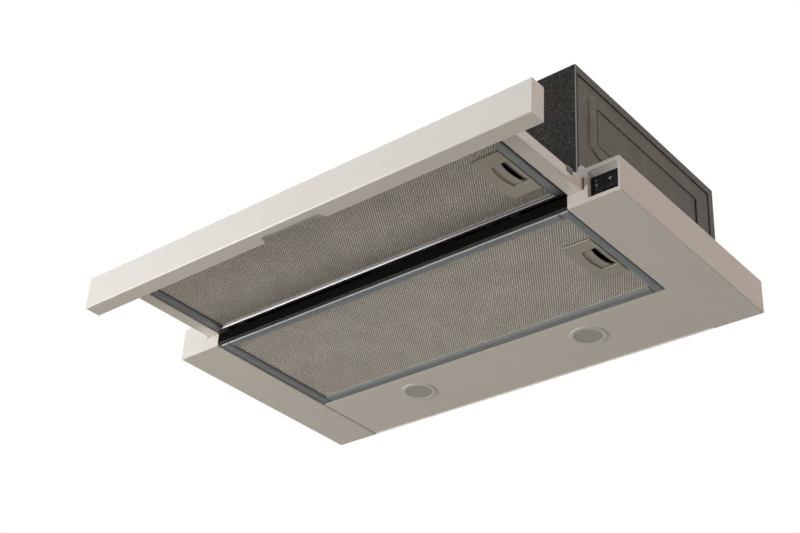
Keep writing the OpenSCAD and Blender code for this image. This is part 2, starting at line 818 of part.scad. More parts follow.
module rear_filter_frame() color(alloy) placed() filter_frame(rear_filter);
module rear_filter_mesh() color(mesh_grey) placed() filter_mesh(rear_filter);
module rear_handle_plate() color(plastic_grey) placed() handle_plate(rear_filter);
module rear_latch() color(plastic_grey) placed() latch(rear_filter);
module rear_latch_spring() color(steel) placed() latch_spring(rear_filter);

module front_filter_frame() color(alloy) placed() filter_frame(front_filter);
module front_filter_mesh() color(mesh_grey) placed() filter_mesh(front_filter);
module front_handle_plate() color(plastic_grey) placed() handle_plate(front_filter);
module front_latch() color(plastic_grey) placed() latch(front_filter);
module front_latch_spring() color(steel) placed() latch_spring(front_filter);

// Ring of a lamp, clipped through the panel
module lamp_ring(x) {
  seat = lens_d / 2 + touch;
  translate([x, body_d - lamp_back, 0])
    rotate_extrude()
      polygon([
        [seat, 0], [lamp_d / 2 - 1, 0], [lamp_d / 2, light_lift * 0.6], [lamp_d / 2, light_lift],
        [lamp_hole_d / 2 - touch, light_lift], [lamp_hole_d / 2 - touch, light_lift + 9],
        [seat + 1, light_lift + 9], [seat + 1, light_lift + 1], [seat, light_lift + 1]
      ]);
}

// Frosted glass of a lamp
module lamp_glass(x) post(x, body_d - lamp_back, light_lift * 0.4, light_lift + 1.2, lens_d / 2);

// Lamp body with its cooling rings
module lamp_body(x) {
  y = body_d - lamp_back;
  base = light_lift + 1.4;
  post(x, y, base, base + lamp_body_h, lens_d / 2 - 1.5);
  for (n = [0:3]) post(x, y, base + n * lamp_body_h / 4, base + n * lamp_body_h / 4 + 2, lens_d / 2 + 0.8);
}

module lamp_ring_left() color(plastic_white) placed() lamp_ring(-lamp_pitch / 2);
module lamp_ring_right() color(plastic_white) placed() lamp_ring(lamp_pitch / 2);
module lamp_glass_left() color(glass_white) placed() lamp_glass(-lamp_pitch / 2);
module lamp_glass_right() color(glass_white) placed() lamp_glass(lamp_pitch / 2);
module lamp_body_left() color(steel) placed() lamp_body(-lamp_pitch / 2);
module lamp_body_right() color(steel) placed() lamp_body(lamp_pitch / 2);

// White pocket behind the switch opening, its roof sloping down to the switches
module switch_recess()
  color(plastic_white)
    placed() {
      roof = recess_z + recess_h;
      back = recess_d + bezel_t;
      along_x(recess_x0 - switch_wall, recess_x1 + switch_wall)
        polygon([
          [sheet, roof], [recess_d, roof - recess_drop], [back, roof - recess_drop],
          [back, roof - recess_drop + switch_wall], [recess_d, roof - recess_drop + switch_wall],
          [sheet, roof + switch_wall]
        ]);
      block(
        [recess_x0 - switch_wall, sheet, recess_z - switch_wall],
        [recess_x1 + switch_wall, back, recess_z]
      );
      for (x = [recess_x0 - switch_wall, recess_x1])
        along_x(x, x + switch_wall)
          polygon([
            [sheet, recess_z - switch_wall], [back, recess_z - switch_wall],
            [back, roof - recess_drop + switch_wall], [recess_d, roof - recess_drop + switch_wall],
            [sheet, roof + switch_wall]
          ]);
      along_y(back, back + switch_wall)
        difference() {
          panel(
            [recess_x0 - switch_wall, recess_z - switch_wall],
            [recess_x1 + switch_wall, roof - recess_drop + switch_wall]
          );
          for (n = [0, 1]) body_outline(n, touch / 2);
        }
    }

function rocker_x(n) = recess_x0 + (n + 0.5) * rocker_pitch;

// Opening round rocker n
module rocker_window(n) {
  half_x = rocker_w / 2 + rocker_gap;
  half_z = rocker_h / 2 + 1.4;
  panel([rocker_x(n) - half_x, rocker_z - half_z], [rocker_x(n) + half_x, rocker_z + half_z]);
}

// Outline of the body of switch n, grown by a gap
module body_outline(n, grow) {
  half_x = rocker_pitch / 2 - 0.6 + grow;
  half_z = rocker_h / 2 + 2.6 + grow;
  panel([rocker_x(n) - half_x, rocker_z - half_z], [rocker_x(n) + half_x, rocker_z + half_z]);
}

// Body of switch n: a rim, a cup for the rocker, a solid contact block and three blades
module switch_body(n) {
  front = recess_d + bezel_t;
  cup_end = rocker_pivot_y + 6;
  rim_x = rocker_pitch / 2 - touch / 2;
  rim_z = (recess_h - recess_drop - touch) / 2;
  x = rocker_x(n);
  difference() {
    union() {
      along_y(recess_d, front)
        round_panel([x - rim_x, rocker_z - rim_z], [x + rim_x, rocker_z + rim_z], 1);
      along_y(front, front + switch_d) body_outline(n, 0);
    }
    along_y(recess_d - eps, cup_end) rocker_window(n);
    rod_x(
      x - rocker_w / 2 - 1.6, x + rocker_w / 2 + 1.6,
      rocker_pivot_y, rocker_z, rocker_pin_r + bearing_gap
    );
  }
  for (k = [-1:1])
    translate([x, front + switch_d, rocker_z + k * 7])
      block([-2.4, 0, -0.4], [2.4, 7, 0.4]);
}

// Rocker n on its two pins, hollow faced, leaning by a given angle
module rocker(n, lean) {
  x = rocker_x(n);
  face = rocker_pivot_y - recess_d + rocker_out;
  half = rocker_h / 2;
  translate([x, rocker_pivot_y, rocker_z])
    rotate([lean, 0, 0]) {
      along_x(-rocker_w / 2, rocker_w / 2)
        polygon([
          [-face, half], [-face + 1.6, 0], [-face, -half], [-face + 3, -half], [2, -3], [2.6, 0],
          [2, 3], [-face + 3, half]
        ]);
      rod_x(-rocker_w / 2 - 1.4, rocker_w / 2 + 1.4, 0, 0, rocker_pin_r);
    }
}

module speed_switch_body() color(plastic_black) placed() switch_body(0);
module light_switch_body() color(plastic_black) placed() switch_body(1);
module speed_rocker() color(plastic_black) placed() rocker(0, 0);
module light_rocker() color(plastic_black) placed() rocker(1, -rocker_lean);

function scroll_r(a) = scroll_r0 + (scroll_r1 - scroll_r0) * (a - tongue_angle) / (360 - tongue_angle);

// Side view of the fan housing grown outwards by a wall, open up to a given height
module scroll_outline(grow, top) {
  polygon([
    for (a = [tongue_angle:(360 - tongue_angle) / 40:360])
      [fan_y + (scroll_r(a) + grow) * cos(a), fan_z + (scroll_r(a) + grow) * sin(a)]
  ]);
  panel([tongue_y - grow, fan_z], [fan_y + scroll_r1 + grow, top]);
}

// Spiral wall of the fan housing with its outlet neck and flange
module scroll_band()
  color(zinc)
    placed() {
      along_x(-scroll_side_x, scroll_side_x)
        difference() {
          scroll_outline(sheet, neck_top);
          scroll_outline(0, neck_top + 1);
        }
      difference() {
        translate([0, spigot_y, 0])
          block([-flange_half, -flange_half, neck_top], [flange_half, flange_half, box_h - sheet]);
        block([-scroll_side_x, tongue_y, neck_top - eps], [scroll_side_x, fan_y + scroll_r1, box_h]);
        for (p = top_screws) post(p[0], p[1], neck_top - eps, box_h, screw_d / 2 + snug);
      }
    }

// Side of the fan housing with a rolled inlet
module scroll_side() {
  lip_r = inlet_r + inlet_lip;
  along_x(scroll_side_x, scroll_side_x + sheet)
    difference() {
      scroll_outline(sheet + 2, neck_top);
      translate([fan_y, fan_z]) circle(lip_r - touch);
    }
  translate([scroll_side_x + sheet, fan_y, fan_z])
    rotate([0, 90, 0])
      rotate_extrude()
        intersection() {
          translate([lip_r, -inlet_lip])
            difference() {
              circle(inlet_lip);
              circle(inlet_lip - sheet);
            }
          translate([inlet_r - 1, -inlet_lip]) square([inlet_lip + 1, inlet_lip]);
        }
}

module scroll_side_right() color(zinc) placed() scroll_side();
module scroll_side_left() color(zinc) placed() mirror([1, 0, 0]) scroll_side();

// Three legged bracket that carries the motor in front of the right inlet
module motor_bracket()
  color(steel)
    placed()
      translate([scroll_side_x + sheet, fan_y, fan_z])
        rotate([0, 90, 0]) {
          inner = inlet_r + inlet_lip + 1;
          difference() {
            cylinder(r = inner + 7, h = 1.5);
            translate([0, 0, -eps]) cylinder(r = inner, h = 2);
          }
          for (a = [60, 180, 300])
            rotate(a) {
              translate([inner, -6, 0]) cube([2.5, 12, motor_gap]);
              translate([14, -6, motor_gap - 1.5]) cube([inner - 12, 12, 1.5]);
            }
          translate([0, 0, motor_gap - 1.5])
            difference() {
              cylinder(r = 26, h = 1.5);
              translate([0, 0, -eps]) cylinder(r = bearing_r + 1, h = 2);
            }
        }

// End shield of the motor, its closed end towards negative x
module motor_shield()
  rotate([0, 90, 0])
    rotate_extrude()
      polygon([
        [bearing_r + snug, 0], [motor_r - 3, 0], [motor_r, 3], [motor_r, shield_len],
        [motor_r - 2, shield_len], [motor_r - 2, 3.5], [motor_r - 3.5, 2], [bearing_r + 3, 2],
        [bearing_r + 3, shield_len - 2], [bearing_r + snug, shield_len - 2]
      ]);

module motor_shield_inner() color(steel) placed() translate([motor_x, fan_y, fan_z]) motor_shield();

module motor_shield_outer()
  color(steel) placed() translate([motor_end, fan_y, fan_z]) mirror([1, 0, 0]) motor_shield();

// Laminated stator with flats and a round bore
module motor_stator()
  color(plastic_grey)
    placed()
      along_x(stator_x, stator_x + stator_len)
        translate([fan_y, fan_z])
          difference() {
            circle(motor_r);
            circle(rotor_r + 0.5);
            for (a = [0:30:330])
              rotate(a) panel([rotor_r + 2, -1.6], [rotor_r + 9, 1.6]);
          }

// Copper end turns on both faces of the stator
module motor_windings()
  color(copper)
    placed()
      for (x = [stator_x - 5, stator_x + stator_len])
        translate([x, fan_y, fan_z])
          rotate([0, 90, 0])
            rotate_extrude() round_panel([rotor_r + 1.5, 0], [rotor_r + 9, 5], 2);

// Sintered bushes of the shaft
module motor_bearings()
  color("goldenrod")
    placed()
      for (x = [motor_x + 0.5, motor_end - shield_len + 2.5])
        translate([x, fan_y, fan_z])
          rotate([0, 90, 0])
            difference() {
              cylinder(r = bearing_r, h = shield_len - 3);
              translate([0, 0, -eps]) cylinder(r = shaft_d / 2 + bearing_gap, h = shield_len);
            }

// Rotor core and the shaft that carries the fan wheel
module motor_rotor()
  color(steel)
    placed() {
      rod_x(-wheel_w / 2 + 4, motor_end - 1, fan_y, fan_z, shaft_d / 2);
      rod_x(stator_x + 1, stator_x + stator_len - 1, fan_y, fan_z, rotor_r);
    }

// Forward curved blade seen along the shaft: a slice of a thin arc
module blade_section() {
  outer = wheel_d / 2;
  curve = blade_d * 0.9;
  intersection() {
    difference() {
      circle(outer);
      circle(outer - blade_d);
    }
    translate([outer - blade_d * 0.55, -curve])
      difference() {
        circle(curve + blade_t / 2);
        circle(curve - blade_t / 2);
        translate([-2 * curve, -2 * curve]) square([4 * curve, 2 * curve]);
      }
  }
}

// Double inlet fan wheel: hub, middle disc, curved blades and two end rings
module fan_wheel()
  color(plastic_grey)
    placed()
      translate([0, fan_y, fan_z])
        rotate([0, 90, 0])
          difference() {
            union() {
              translate([0, 0, -wheel_w / 2])
                linear_extrude(wheel_w)
                  for (n = [0:blades - 1]) rotate(n * 360 / blades) blade_section();
              translate([0, 0, -1]) cylinder(r = wheel_d / 2 - 0.6, h = 2);
              translate([0, 0, -12]) cylinder(r = shaft_d / 2 + 5, h = 24);
              for (z = [-wheel_w / 2, wheel_w / 2 - 3])
                translate([0, 0, z])
                  difference() {
                    cylinder(r = wheel_d / 2 + 0.8, h = 3);
                    translate([0, 0, -eps]) cylinder(r = wheel_d / 2 - 1.2, h = 3 + 2 * eps);
                  }
            }
            translate([0, 0, -wheel_w]) cylinder(r = shaft_d / 2 + snug, h = 2 * wheel_w);
            for (a = [0:60:300])
              rotate(a) translate([wheel_d / 4, 0, -2]) cylinder(r = wheel_d / 16, h = 4);
          }

// Spigot for the duct, with a flange on the box and a ledge under the flaps
module duct_spigot()
  color(plastic_black)
    placed()
      translate([0, spigot_y, box_h])
        difference() {
          rotate_extrude()
            polygon([
              [spigot_bore, -sheet + touch], [spigot_r, -sheet + touch], [spigot_r, 0],
              [spigot_r + spigot_rim, 0], [spigot_r + spigot_rim, 1.5], [spigot_r + spigot_rim - 0.5, 2],
              [spigot_r, 2], [spigot_r, spigot_h - 1], [spigot_r - 1, spigot_h], [spigot_bore, spigot_h],
              [spigot_bore, flap_z - flap_t / 2 - 0.3], [spigot_bore - 3.5, flap_z - flap_t / 2 - 0.3],
              [spigot_bore - 3.5, flap_z - flap_t / 2 - 1.8], [spigot_bore, flap_z - flap_t / 2 - 4]
            ]);
          rod_x(-spigot_r + 1, spigot_r - 1, 0, flap_z, flap_pin_d / 2 + snug);
        }

// Pin across the spigot that both flaps swing on
module flap_pin()
  color(steel)
    placed()
      rod_x(-spigot_r + 1.2, spigot_r - 1.2, spigot_y, box_h + flap_z, flap_pin_d / 2);

// Rear half flap: a half disc on two sleeves, the sleeves in the odd or even places
module flap(first) {
  sleeve_r = flap_pin_d / 2 + 1.6;
  reach = spigot_bore - 0.8;
  pitch = (2 * reach - 6) / 4;
  difference() {
    union() {
      linear_extrude(flap_t, center = true)
        intersection() {
          circle(reach);
          panel([-reach, sleeve_r + 0.5], [reach, reach]);
        }
      for (n = [first, first + 2])
        translate([-2 * pitch + n * pitch, 0, 0]) {
          rod_x(0.3, pitch - 0.3, 0, 0, sleeve_r);
          block([0.3, 0, -flap_t / 2], [pitch - 0.3, sleeve_r + 1, flap_t / 2]);
        }
      for (x = [-flap_rib_x, flap_rib_x])
        block([x - 0.6, sleeve_r + 6, 0], [x + 0.6, reach - 12, flap_t / 2 + 1.2]);
    }
    rod_x(-reach, reach, 0, 0, flap_pin_d / 2 + bearing_gap);
  }
}

module flap_rear() color(plastic_black) placed() translate([0, spigot_y, box_h + flap_z]) flap(0);

module flap_front()
  color(plastic_black)
    placed() translate([0, spigot_y, box_h + flap_z]) mirror([0, 1, 0]) flap(1);

// Box for the mains joint on the back plate, open to the cable
module terminal_box()
  color(plastic_white)
    placed() {
      low = [bush_x - terminal_w / 2, body_d - sheet - terminal_d, terminal_z];
      high = [bush_x + terminal_w / 2, body_d - sheet, box_h - terminal_drop];
      difference() {
        block(low, high);
        block(low + [2, 2, 2], high - [2, 2, 2]);
        post(bush_x, bush_y, high[2] - 3, high[2] + 1, cable_d / 2 + 1);
      }
      for (x = [low[0] + 8, high[0] - 12])
        difference() {
          block([x, low[1] + 6, low[2] - 8], [x + 4, high[1], low[2]]);
          rod_x(x - 1, x + 5, capacitor_y, capacitor_z, capacitor_d / 2 + 0.3);
        }
    }

// Start capacitor of the motor, held under the terminal box
module capacitor()
  color("gainsboro")
    placed() {
      end_x = bush_x + capacitor_len / 2;
      rod_x(end_x - capacitor_len, end_x, capacitor_y, capacitor_z, capacitor_d / 2);
      rod_x(end_x, end_x + 6, capacitor_y, capacitor_z, 5);
    }

// Bush in the box top for the mains lead
module cable_bush()
  color(plastic_black)
    placed()
      translate([bush_x, bush_y, box_h])
        rotate_extrude()
          polygon([
            [cable_d / 2, 3 - bush_len], [cable_d / 2 + 2.4, 3 - bush_len],
            [cable_d / 2 + 4.8, -sheet - 2.5], [cable_d / 2 + 4.8, -sheet - touch],
            [cable_d / 2 + 3, -sheet - touch], [cable_d / 2 + 3, touch], [cable_d / 2 + 5.5, touch],
            [cable_d / 2 + 5.5, 2], [cable_d / 2 + 4.5, 3], [cable_d / 2, 3]
          ]);

// Screws through the feet of the box and through the outlet flange
module box_screws()
  color(steel)
    placed() {
      for (p = foot_screws) screw_down(p[0], p[1], cheek_h + sheet, 6);
      for (p = top_screws) screw_down(p[0], p[1], box_h, 7);
    }

// Outline of the finger grip seen from below, grown by a gap and run on past the back of the fascia
module grip_outline(grow, past) {
  half = grip_w / 2 + grow;
  front = fascia_back_y - grip_d - grow;
  polygon([
    [-half, fascia_back_y + past], [half, fascia_back_y + past], [half, fascia_back_y],
    [half - grip_slant, front], [-half + grip_slant, front], [-half, fascia_back_y]
  ]);
}

// Hollow fascia, open at the back, with the finger grip cut in its floor
module fascia()
  color(painted)
    placed()
      difference() {
        along_x(-half_w, half_w)
          difference() {
            panel([fascia_front_y, 0], [fascia_back_y, fascia_h]);
            corner_waste(fascia_front_y, 0, fold_r, 1, 1);
            corner_waste(fascia_front_y, fascia_h, fold_r, 1, -1);
          }
        along_x(-half_w + fascia_wall, half_w - fascia_wall)
          panel([fascia_front_y + fascia_wall, fascia_wall], [fascia_back_y + 1, fascia_h - fascia_wall]);
        translate([0, 0, -1]) linear_extrude(fascia_wall + 1 + eps) grip_outline(0, 1);
      }

// Plate that closes the fascia, with the pressed cup of the finger grip and a ledge along the filter
module fascia_back()
  color(painted)
    placed() {
      inset = fascia_wall + touch;
      difference() {
        union() {
          along_y(fascia_back_y - sheet, fascia_back_y)
            panel([-half_w + inset, inset], [half_w - inset, fascia_h - inset]);
          translate([0, 0, inset]) linear_extrude(grip_h + sheet - inset) grip_outline(touch + sheet, 0);
        }
        translate([0, 0, inset - eps]) linear_extrude(grip_h - inset + eps) grip_outline(touch, 1);
        for (p = arm_screws) rod_y(p[0], fascia_back_y - 2, fascia_back_y + 1, p[1], screw_d / 2 + snug);
      }
      block(
        [-arm_x + touch, fascia_back_y - eps, arm_z],
        [arm_x - touch, fascia_back_y + ledge_d, arm_z + sheet]
      );
    }

// Right drawer arm: a square tube closed at the front, slotted for the catch of the front filter
module drawer_arm()
  difference() {
    block([arm_x, fascia_back_y, arm_z], [arm_x + arm_w, arm_end_y, arm_z + arm_h]);
    block(
      [arm_x + arm_wall, fascia_back_y + arm_wall, arm_z + arm_wall],
      [arm_x + arm_w - arm_wall, arm_end_y + 1, arm_z + arm_h - arm_wall]
    );
    catch_slots(arm_x, arm_wall, (front_filter_y0 + front_filter_y1) / 2, front_filter_z);
    for (p = arm_screws)
      if (p[0] > 0) rod_y(p[0], fascia_back_y - 1, fascia_back_y + 2, p[1], screw_d / 2 + snug);
  }

module drawer_arm_right() color(painted) placed() drawer_arm();
module drawer_arm_left() color(painted) placed() mirror([1, 0, 0]) drawer_arm();

// Plastic shoes plugged into the arms, as tall as the channel
module arm_shoes()
  color(plastic_white)
    placed()
      both_sides() {
        in = arm_wall + touch;
        block([arm_x + in, arm_end_y - shoe_plug, arm_z + in],
              [arm_x + arm_w - in, arm_end_y, arm_z + arm_h - in]);
        block(
          [arm_x, arm_end_y, step_h + slide_gap],
          [arm_x + arm_w, arm_end_y + shoe_len, cheek_h - sheet - slide_gap]
        );
      }

// Steel clip folded over the right arm
module arm_clip()
  color(steel)
    placed()
      translate([arm_x + arm_w, -26, arm_z + arm_h]) {
        block([-7, 0, 0], [0, 10, 0.35]);
        difference() {
          block([-arm_wall, 0, -6], [slide_gap / 2, 10, 0.35]);
          block([-arm_wall - eps, -1, -7], [0, 11, 0]);
        }
      }

// Rail across the back of the drawer, behind the front filter
module drawer_rail()
  color(zinc)
    placed() {
      z0 = front_filter_z + touch;
      z1 = arm_z + arm_h - touch;
      block([-inner_x + touch, rail_y, z0], [inner_x - touch, rail_y + sheet, z1]);
      block([-inner_x + touch, rail_y - rail_d, z1 - sheet], [inner_x - touch, rail_y + sheet, z1]);
    }

// Screws that hold the arms to the fascia
module drawer_screws()
  color(steel)
    placed()
      for (p = arm_screws)
        translate([0, 2 * (fascia_back_y + arm_wall), 0])
          mirror([0, 1, 0])
            screw_back(p[0], fascia_back_y + arm_wall, p[1], 6);

cheek_left();
cheek_right();
light_panel();
front_bar();
drawer_seal();
front_stretcher();
box_wrap();
box_side_left();
box_side_right();
slide_guide_left();
slide_guide_right();
drawer_stops();
rear_filter_frame();
rear_filter_mesh();
rear_handle_plate();
rear_latch();
rear_latch_spring();
lamp_ring_left();
lamp_ring_right();
lamp_glass_left();
lamp_glass_right();
lamp_body_left();
lamp_body_right();
switch_recess();
speed_switch_body();
light_switch_body();
speed_rocker();
light_rocker();
scroll_band();
scroll_side_left();
scroll_side_right();
motor_bracket();
motor_shield_inner();
motor_shield_outer();
motor_stator();
motor_windings();
motor_bearings();
motor_rotor();
fan_wheel();
duct_spigot();
flap_pin();
flap_front();
flap_rear();
terminal_box();
capacitor();
cable_bush();
box_screws();
fascia();
fascia_back();
drawer_arm_left();
drawer_arm_right();
arm_shoes();
arm_clip();
drawer_rail();
drawer_screws();
front_filter_frame();
front_filter_mesh();
front_handle_plate();
front_latch();
front_latch_spring();
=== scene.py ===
import json
import math

import bmesh
import bpy
from mathutils import Euler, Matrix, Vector
from mathutils.bvhtree import BVHTree


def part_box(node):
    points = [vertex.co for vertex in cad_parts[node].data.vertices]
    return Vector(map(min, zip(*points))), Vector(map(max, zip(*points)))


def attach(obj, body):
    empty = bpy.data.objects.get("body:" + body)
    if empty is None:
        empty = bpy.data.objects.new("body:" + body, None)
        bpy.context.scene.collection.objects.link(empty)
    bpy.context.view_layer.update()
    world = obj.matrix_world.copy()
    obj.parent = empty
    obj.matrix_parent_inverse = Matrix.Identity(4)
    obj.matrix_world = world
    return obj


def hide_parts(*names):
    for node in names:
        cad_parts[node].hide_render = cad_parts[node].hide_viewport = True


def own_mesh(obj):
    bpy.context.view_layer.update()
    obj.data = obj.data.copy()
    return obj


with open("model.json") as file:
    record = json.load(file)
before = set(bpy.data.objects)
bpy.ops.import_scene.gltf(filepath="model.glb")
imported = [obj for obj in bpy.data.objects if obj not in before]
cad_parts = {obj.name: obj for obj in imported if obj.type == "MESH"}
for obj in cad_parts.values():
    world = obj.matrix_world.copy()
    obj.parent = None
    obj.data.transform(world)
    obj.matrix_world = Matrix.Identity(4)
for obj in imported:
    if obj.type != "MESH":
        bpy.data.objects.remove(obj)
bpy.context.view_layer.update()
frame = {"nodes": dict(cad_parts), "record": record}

nodes = frame["nodes"]
record = frame["record"]
MM = 0.001
slot_of = {part["node"]: part["material_slot"] for part in record["subparts"]}
body_of = {node: body for body, members in record["behaviour"]["bodies"].items() for node in members}


# ---------------------------------------------------------------- camera, at the photograph's viewing angle
camera_data = bpy.data.cameras.new("camera")
camera_data.sensor_width = 36
camera_data.lens = 65.69
camera = bpy.data.objects.new("camera", camera_data)
camera.location = (0.88774, -1.24947, -0.79058)
camera.rotation_euler = Euler((2.125977, -0.051517, 0.691907), "XYZ")
bpy.context.scene.collection.objects.link(camera)
bpy.context.scene.camera = camera
bpy.context.scene.view_settings.view_transform = "Standard"


# ---------------------------------------------------------------- materials
class Finish:
    """A Principled material whose colour, roughness and relief come from procedural nodes."""

    def __init__(self, name, roughness=0.5, metallic=0.0, **sockets):
        self.material = bpy.data.materials.new(name)
        self.material.use_nodes = True
        self.tree = self.material.node_tree
        self.shader = self.tree.nodes["Principled BSDF"]
        self.place = self.node("TexCoord").outputs["Object"]
        self.feed(self.shader, dict(sockets, Roughness=roughness, Metallic=metallic))

    def node(self, kind, **inputs):
        made = self.tree.nodes.new("ShaderNode" + kind)
        self.feed(made, inputs)
        return made

    def feed(self, made, inputs):
        """Links or sets inputs, named with _ for each space."""
        for key, value in inputs.items():
            self.plug(made.inputs[key.replace("_", " ")], value)

    def plug(self, socket, value):
        if isinstance(value, bpy.types.NodeSocket):
            self.tree.links.new(value, socket)
        else:
            socket.default_value = value

    def axes(self):
        """The object's own x, y and z, in metres."""
        split = self.node("SeparateXYZ", Vector=self.place)
        return [split.outputs[axis] for axis in "XYZ"]

    def stretched(self, x, y, z):
        """The object's own coordinates, in metres, with each axis scaled."""
        return self.node("Mapping", Vector=self.place, Scale=(x, y, z)).outputs["Vector"]

    def noise(self, size, detail=3.0, rough=0.55, place=None):
        """Noise whose grains are about size metres across."""
        made = self.node("TexNoise", Vector=place or self.place, Scale=1 / size, Detail=detail, Roughness=rough)
        return made.outputs["Fac"]

    def crystals(self, size):
        """One random grey for each cell of about size metres."""
        cells = self.node("TexVoronoi", Vector=self.place, Scale=1 / size).outputs["Color"]
        return self.node("SeparateColor", Color=cells).outputs["Red"]

    def ramp(self, fac, *stops):
        """A colour ramp through (position, colour or grey) stops."""
        made = self.node("ValToRGB", Fac=fac)
        points = made.color_ramp.elements
        while len(points) < len(stops):
            points.new(0.5)
        for point, (position, colour) in zip(points, stops):
            point.position = position
            if not isinstance(colour, (tuple, list)):
                colour = (colour, colour, colour)
            point.color = (*colour, 1)
        return made.outputs["Color"]

    def span(self, fac, low, high, to_low=0, to_high=1):
        """Maps low..high to to_low..to_high."""
        made = self.node("MapRange", Value=fac, From_Min=low, From_Max=high, To_Min=to_low, To_Max=to_high)
        return made.outputs["Result"]

    def blend(self, a, b, fac, mode="MIX"):
        made = self.node("MixRGB", Fac=fac, Color1=a, Color2=b)
        made.blend_type = mode
        return made.outputs["Color"]

    def times(self, a, b, fac=1):
        """Colour a multiplied by colour b."""
        return self.blend(a, b, fac, "MULTIPLY")

    def calc(self, kind, a, b=0):
        """One step of arithmetic, by the name that Blender gives it."""
        made = self.node("Math")
        made.operation = kind
        self.plug(made.inputs[0], a)
        self.plug(made.inputs[1], b)
        return made.outputs["Value"]

    def colour(self, value):
        self.feed(self.shader, {"Base Color": value})

    def rough(self, value):
        self.feed(self.shader, {"Roughness": value})

    def bump(self, height, depth, strength):
        """Relief of the given depth in metres."""
        made = self.node("Bump", Height=height, Strength=strength, Distance=depth)
        self.feed(self.shader, {"Normal": made.outputs["Normal"]})


def shade(colour, factor):
    return tuple(channel * factor for channel in colour)


def coated(name, colour, roughness=0.4, **sockets):
    """Powder coat: faint clouds in the colour and a fine orange peel."""
    made = Finish(name, roughness, **sockets)
    made.colour(made.ramp(made.noise(90 * MM, 4), (0.3, shade(colour, 0.985)), (0.7, shade(colour, 1.01))))
    made.rough(made.span(made.noise(20 * MM), 0.3, 0.7, roughness - 0.04, roughness + 0.05))
    made.bump(made.noise(1.3 * MM, 2, 0.4), 0.012 * MM, 0.5)
    return made


def moulded(name, colour, roughness, grain=0.5 * MM, depth=0.008 * MM, **sockets):
    """Moulded plastic: an even colour with a fine spark-eroded grain."""
    made = Finish(name, roughness, **sockets)
    made.colour(made.ramp(made.noise(30 * MM), (0.3, shade(colour, 0.96)), (0.7, shade(colour, 1.04))))
    made.rough(made.span(made.noise(4 * MM, 2), 0.3, 0.7, roughness - 0.05, roughness + 0.05))
    made.bump(made.noise(grain, 2, 0.6), depth, 0.7)
    return made


def galvanised(name, dark, light, crystal=1.5 * MM, drawn=True):
    """Galvanised sheet: spangle crystals of zinc, clouds, and where drawn faint drawing marks up the sheet."""
    made = Finish(name, 0.5, 0.85)
    crystals = made.crystals(crystal)
    fine = made.noise(0.8 * MM, 3, 0.7)
    mixed = made.calc("ADD", made.calc("MULTIPLY", crystals, 0.5), made.calc("MULTIPLY", fine, 0.5))
    spangle = made.ramp(mixed, (0.22, dark), (0.48, shade(dark, 1.7)), (0.78, light))
    made.tone = made.times(spangle, made.ramp(made.noise(50 * MM, 4, 0.6), (0.3, 0.8), (0.7, 1.15)))
    if drawn:
        lines = made.noise(4 * MM, 3, 0.6, made.stretched(1, 1, 0.04))
        made.tone = made.times(made.tone, made.ramp(lines, (0.35, 0.93), (0.7, 1.06)))
    made.colour(made.tone)
    made.rough(made.span(crystals, 0, 1, 0.42, 0.6))
    made.bump(fine, 0.01 * MM, 0.5)
    return made


def pressed_side(name, dark, light):
    """Galvanised side plate, with painted shadow lines in the folds round its two pressed steps and painted shade
    that darkens it towards the back of the box.
    """
    made = galvanised(name, dark, light)
    _, y, z = made.axes()
    rear_y, middle_y, middle_z, inner_top = -0.28, -0.139, 0.1205, 0.1428
    across = made.calc("ABSOLUTE", made.calc("ADD", y, -middle_y))
    up = made.calc("ABSOLUTE", made.calc("ADD", z, -middle_z))
    # Painted shade: the sheet grows darker towards the back of the box
    tone = made.times(made.tone, made.ramp(made.span(y, rear_y, 0), (0.15, 1.02), (0.7, 0.86)))
    below_top = made.calc("LESS_THAN", z, inner_top)
    # Half lengths and corner radius of each step, then where its painted shadow line starts to fade, its tone, and
    # its mask
    for half_y, half_z, radius, start, depth, where in ((0.115, 0.0395, 0.020, 0.15, 0.75, 1.0),
                                                        (0.099, 0.0235, 0.003, 0.34, 0.04, below_top)):
        a = made.calc("ADD", across, radius - half_y)
        b = made.calc("ADD", up, radius - half_z)
        a0, b0 = made.calc("MAXIMUM", a), made.calc("MAXIMUM", b)
        squares = made.calc("ADD", made.calc("MULTIPLY", a0, a0), made.calc("MULTIPLY", b0, b0))
        outside = made.calc("POWER", squares, 0.5)
        inside = made.calc("MINIMUM", made.calc("MAXIMUM", a, b))
        far = made.calc("ABSOLUTE", made.calc("ADD", made.calc("ADD", outside, inside), -radius))
        # Painted shadow line round the step
        line = made.ramp(made.span(far, 0, 3 * MM), (start, depth), (start + 0.4, 1))
        tone = made.times(tone, line, where)
    made.colour(tone)
    return made


def wrapped_sheet(name, dark, light):
    """Wrapped sheet of the motor box: a painted highlight down its front corners, and near-black painted shadow in
    the gap where its lip meets the side; its lips take a dark brown.
    """
    made = galvanised(name, dark, light, 1.15 * MM, False)
    corner_x, lip_x, highlight_y, lip_y, lip_top = 0.2494, 0.2498, -0.2766, -0.2739, 0.168
    x, y, z = made.axes()
    side = made.calc("ABSOLUTE", x)
    corner = made.calc("GREATER_THAN", side, corner_x)
    corner_highlight = made.calc("MULTIPLY", corner, made.calc("LESS_THAN", y, highlight_y))
    front_lip = made.calc("MULTIPLY", corner, made.calc("LESS_THAN", y, lip_y))
    gap = made.calc("SUBTRACT", made.calc("MULTIPLY", front_lip, made.calc("LESS_THAN", z, lip_top)), corner_highlight)
    lip = made.calc("SUBTRACT", made.calc("GREATER_THAN", side, lip_x), made.calc("ADD", gap, corner_highlight))
    tone = made.blend(made.tone, (0.085, 0.072, 0.06, 1), made.calc("MULTIPLY", made.calc("MAXIMUM", lip), 0.8))
    # Painted highlight down the front corners
    tone = made.blend(tone, (0.21, 0.205, 0.20, 1), made.calc("MULTIPLY", corner_highlight, 0.9))
    # Near-black painted shadow in the gap at the front lip
    made.colour(made.blend(tone, (0.004, 0.004, 0.004, 1), made.calc("MAXIMUM", gap)))
    return made


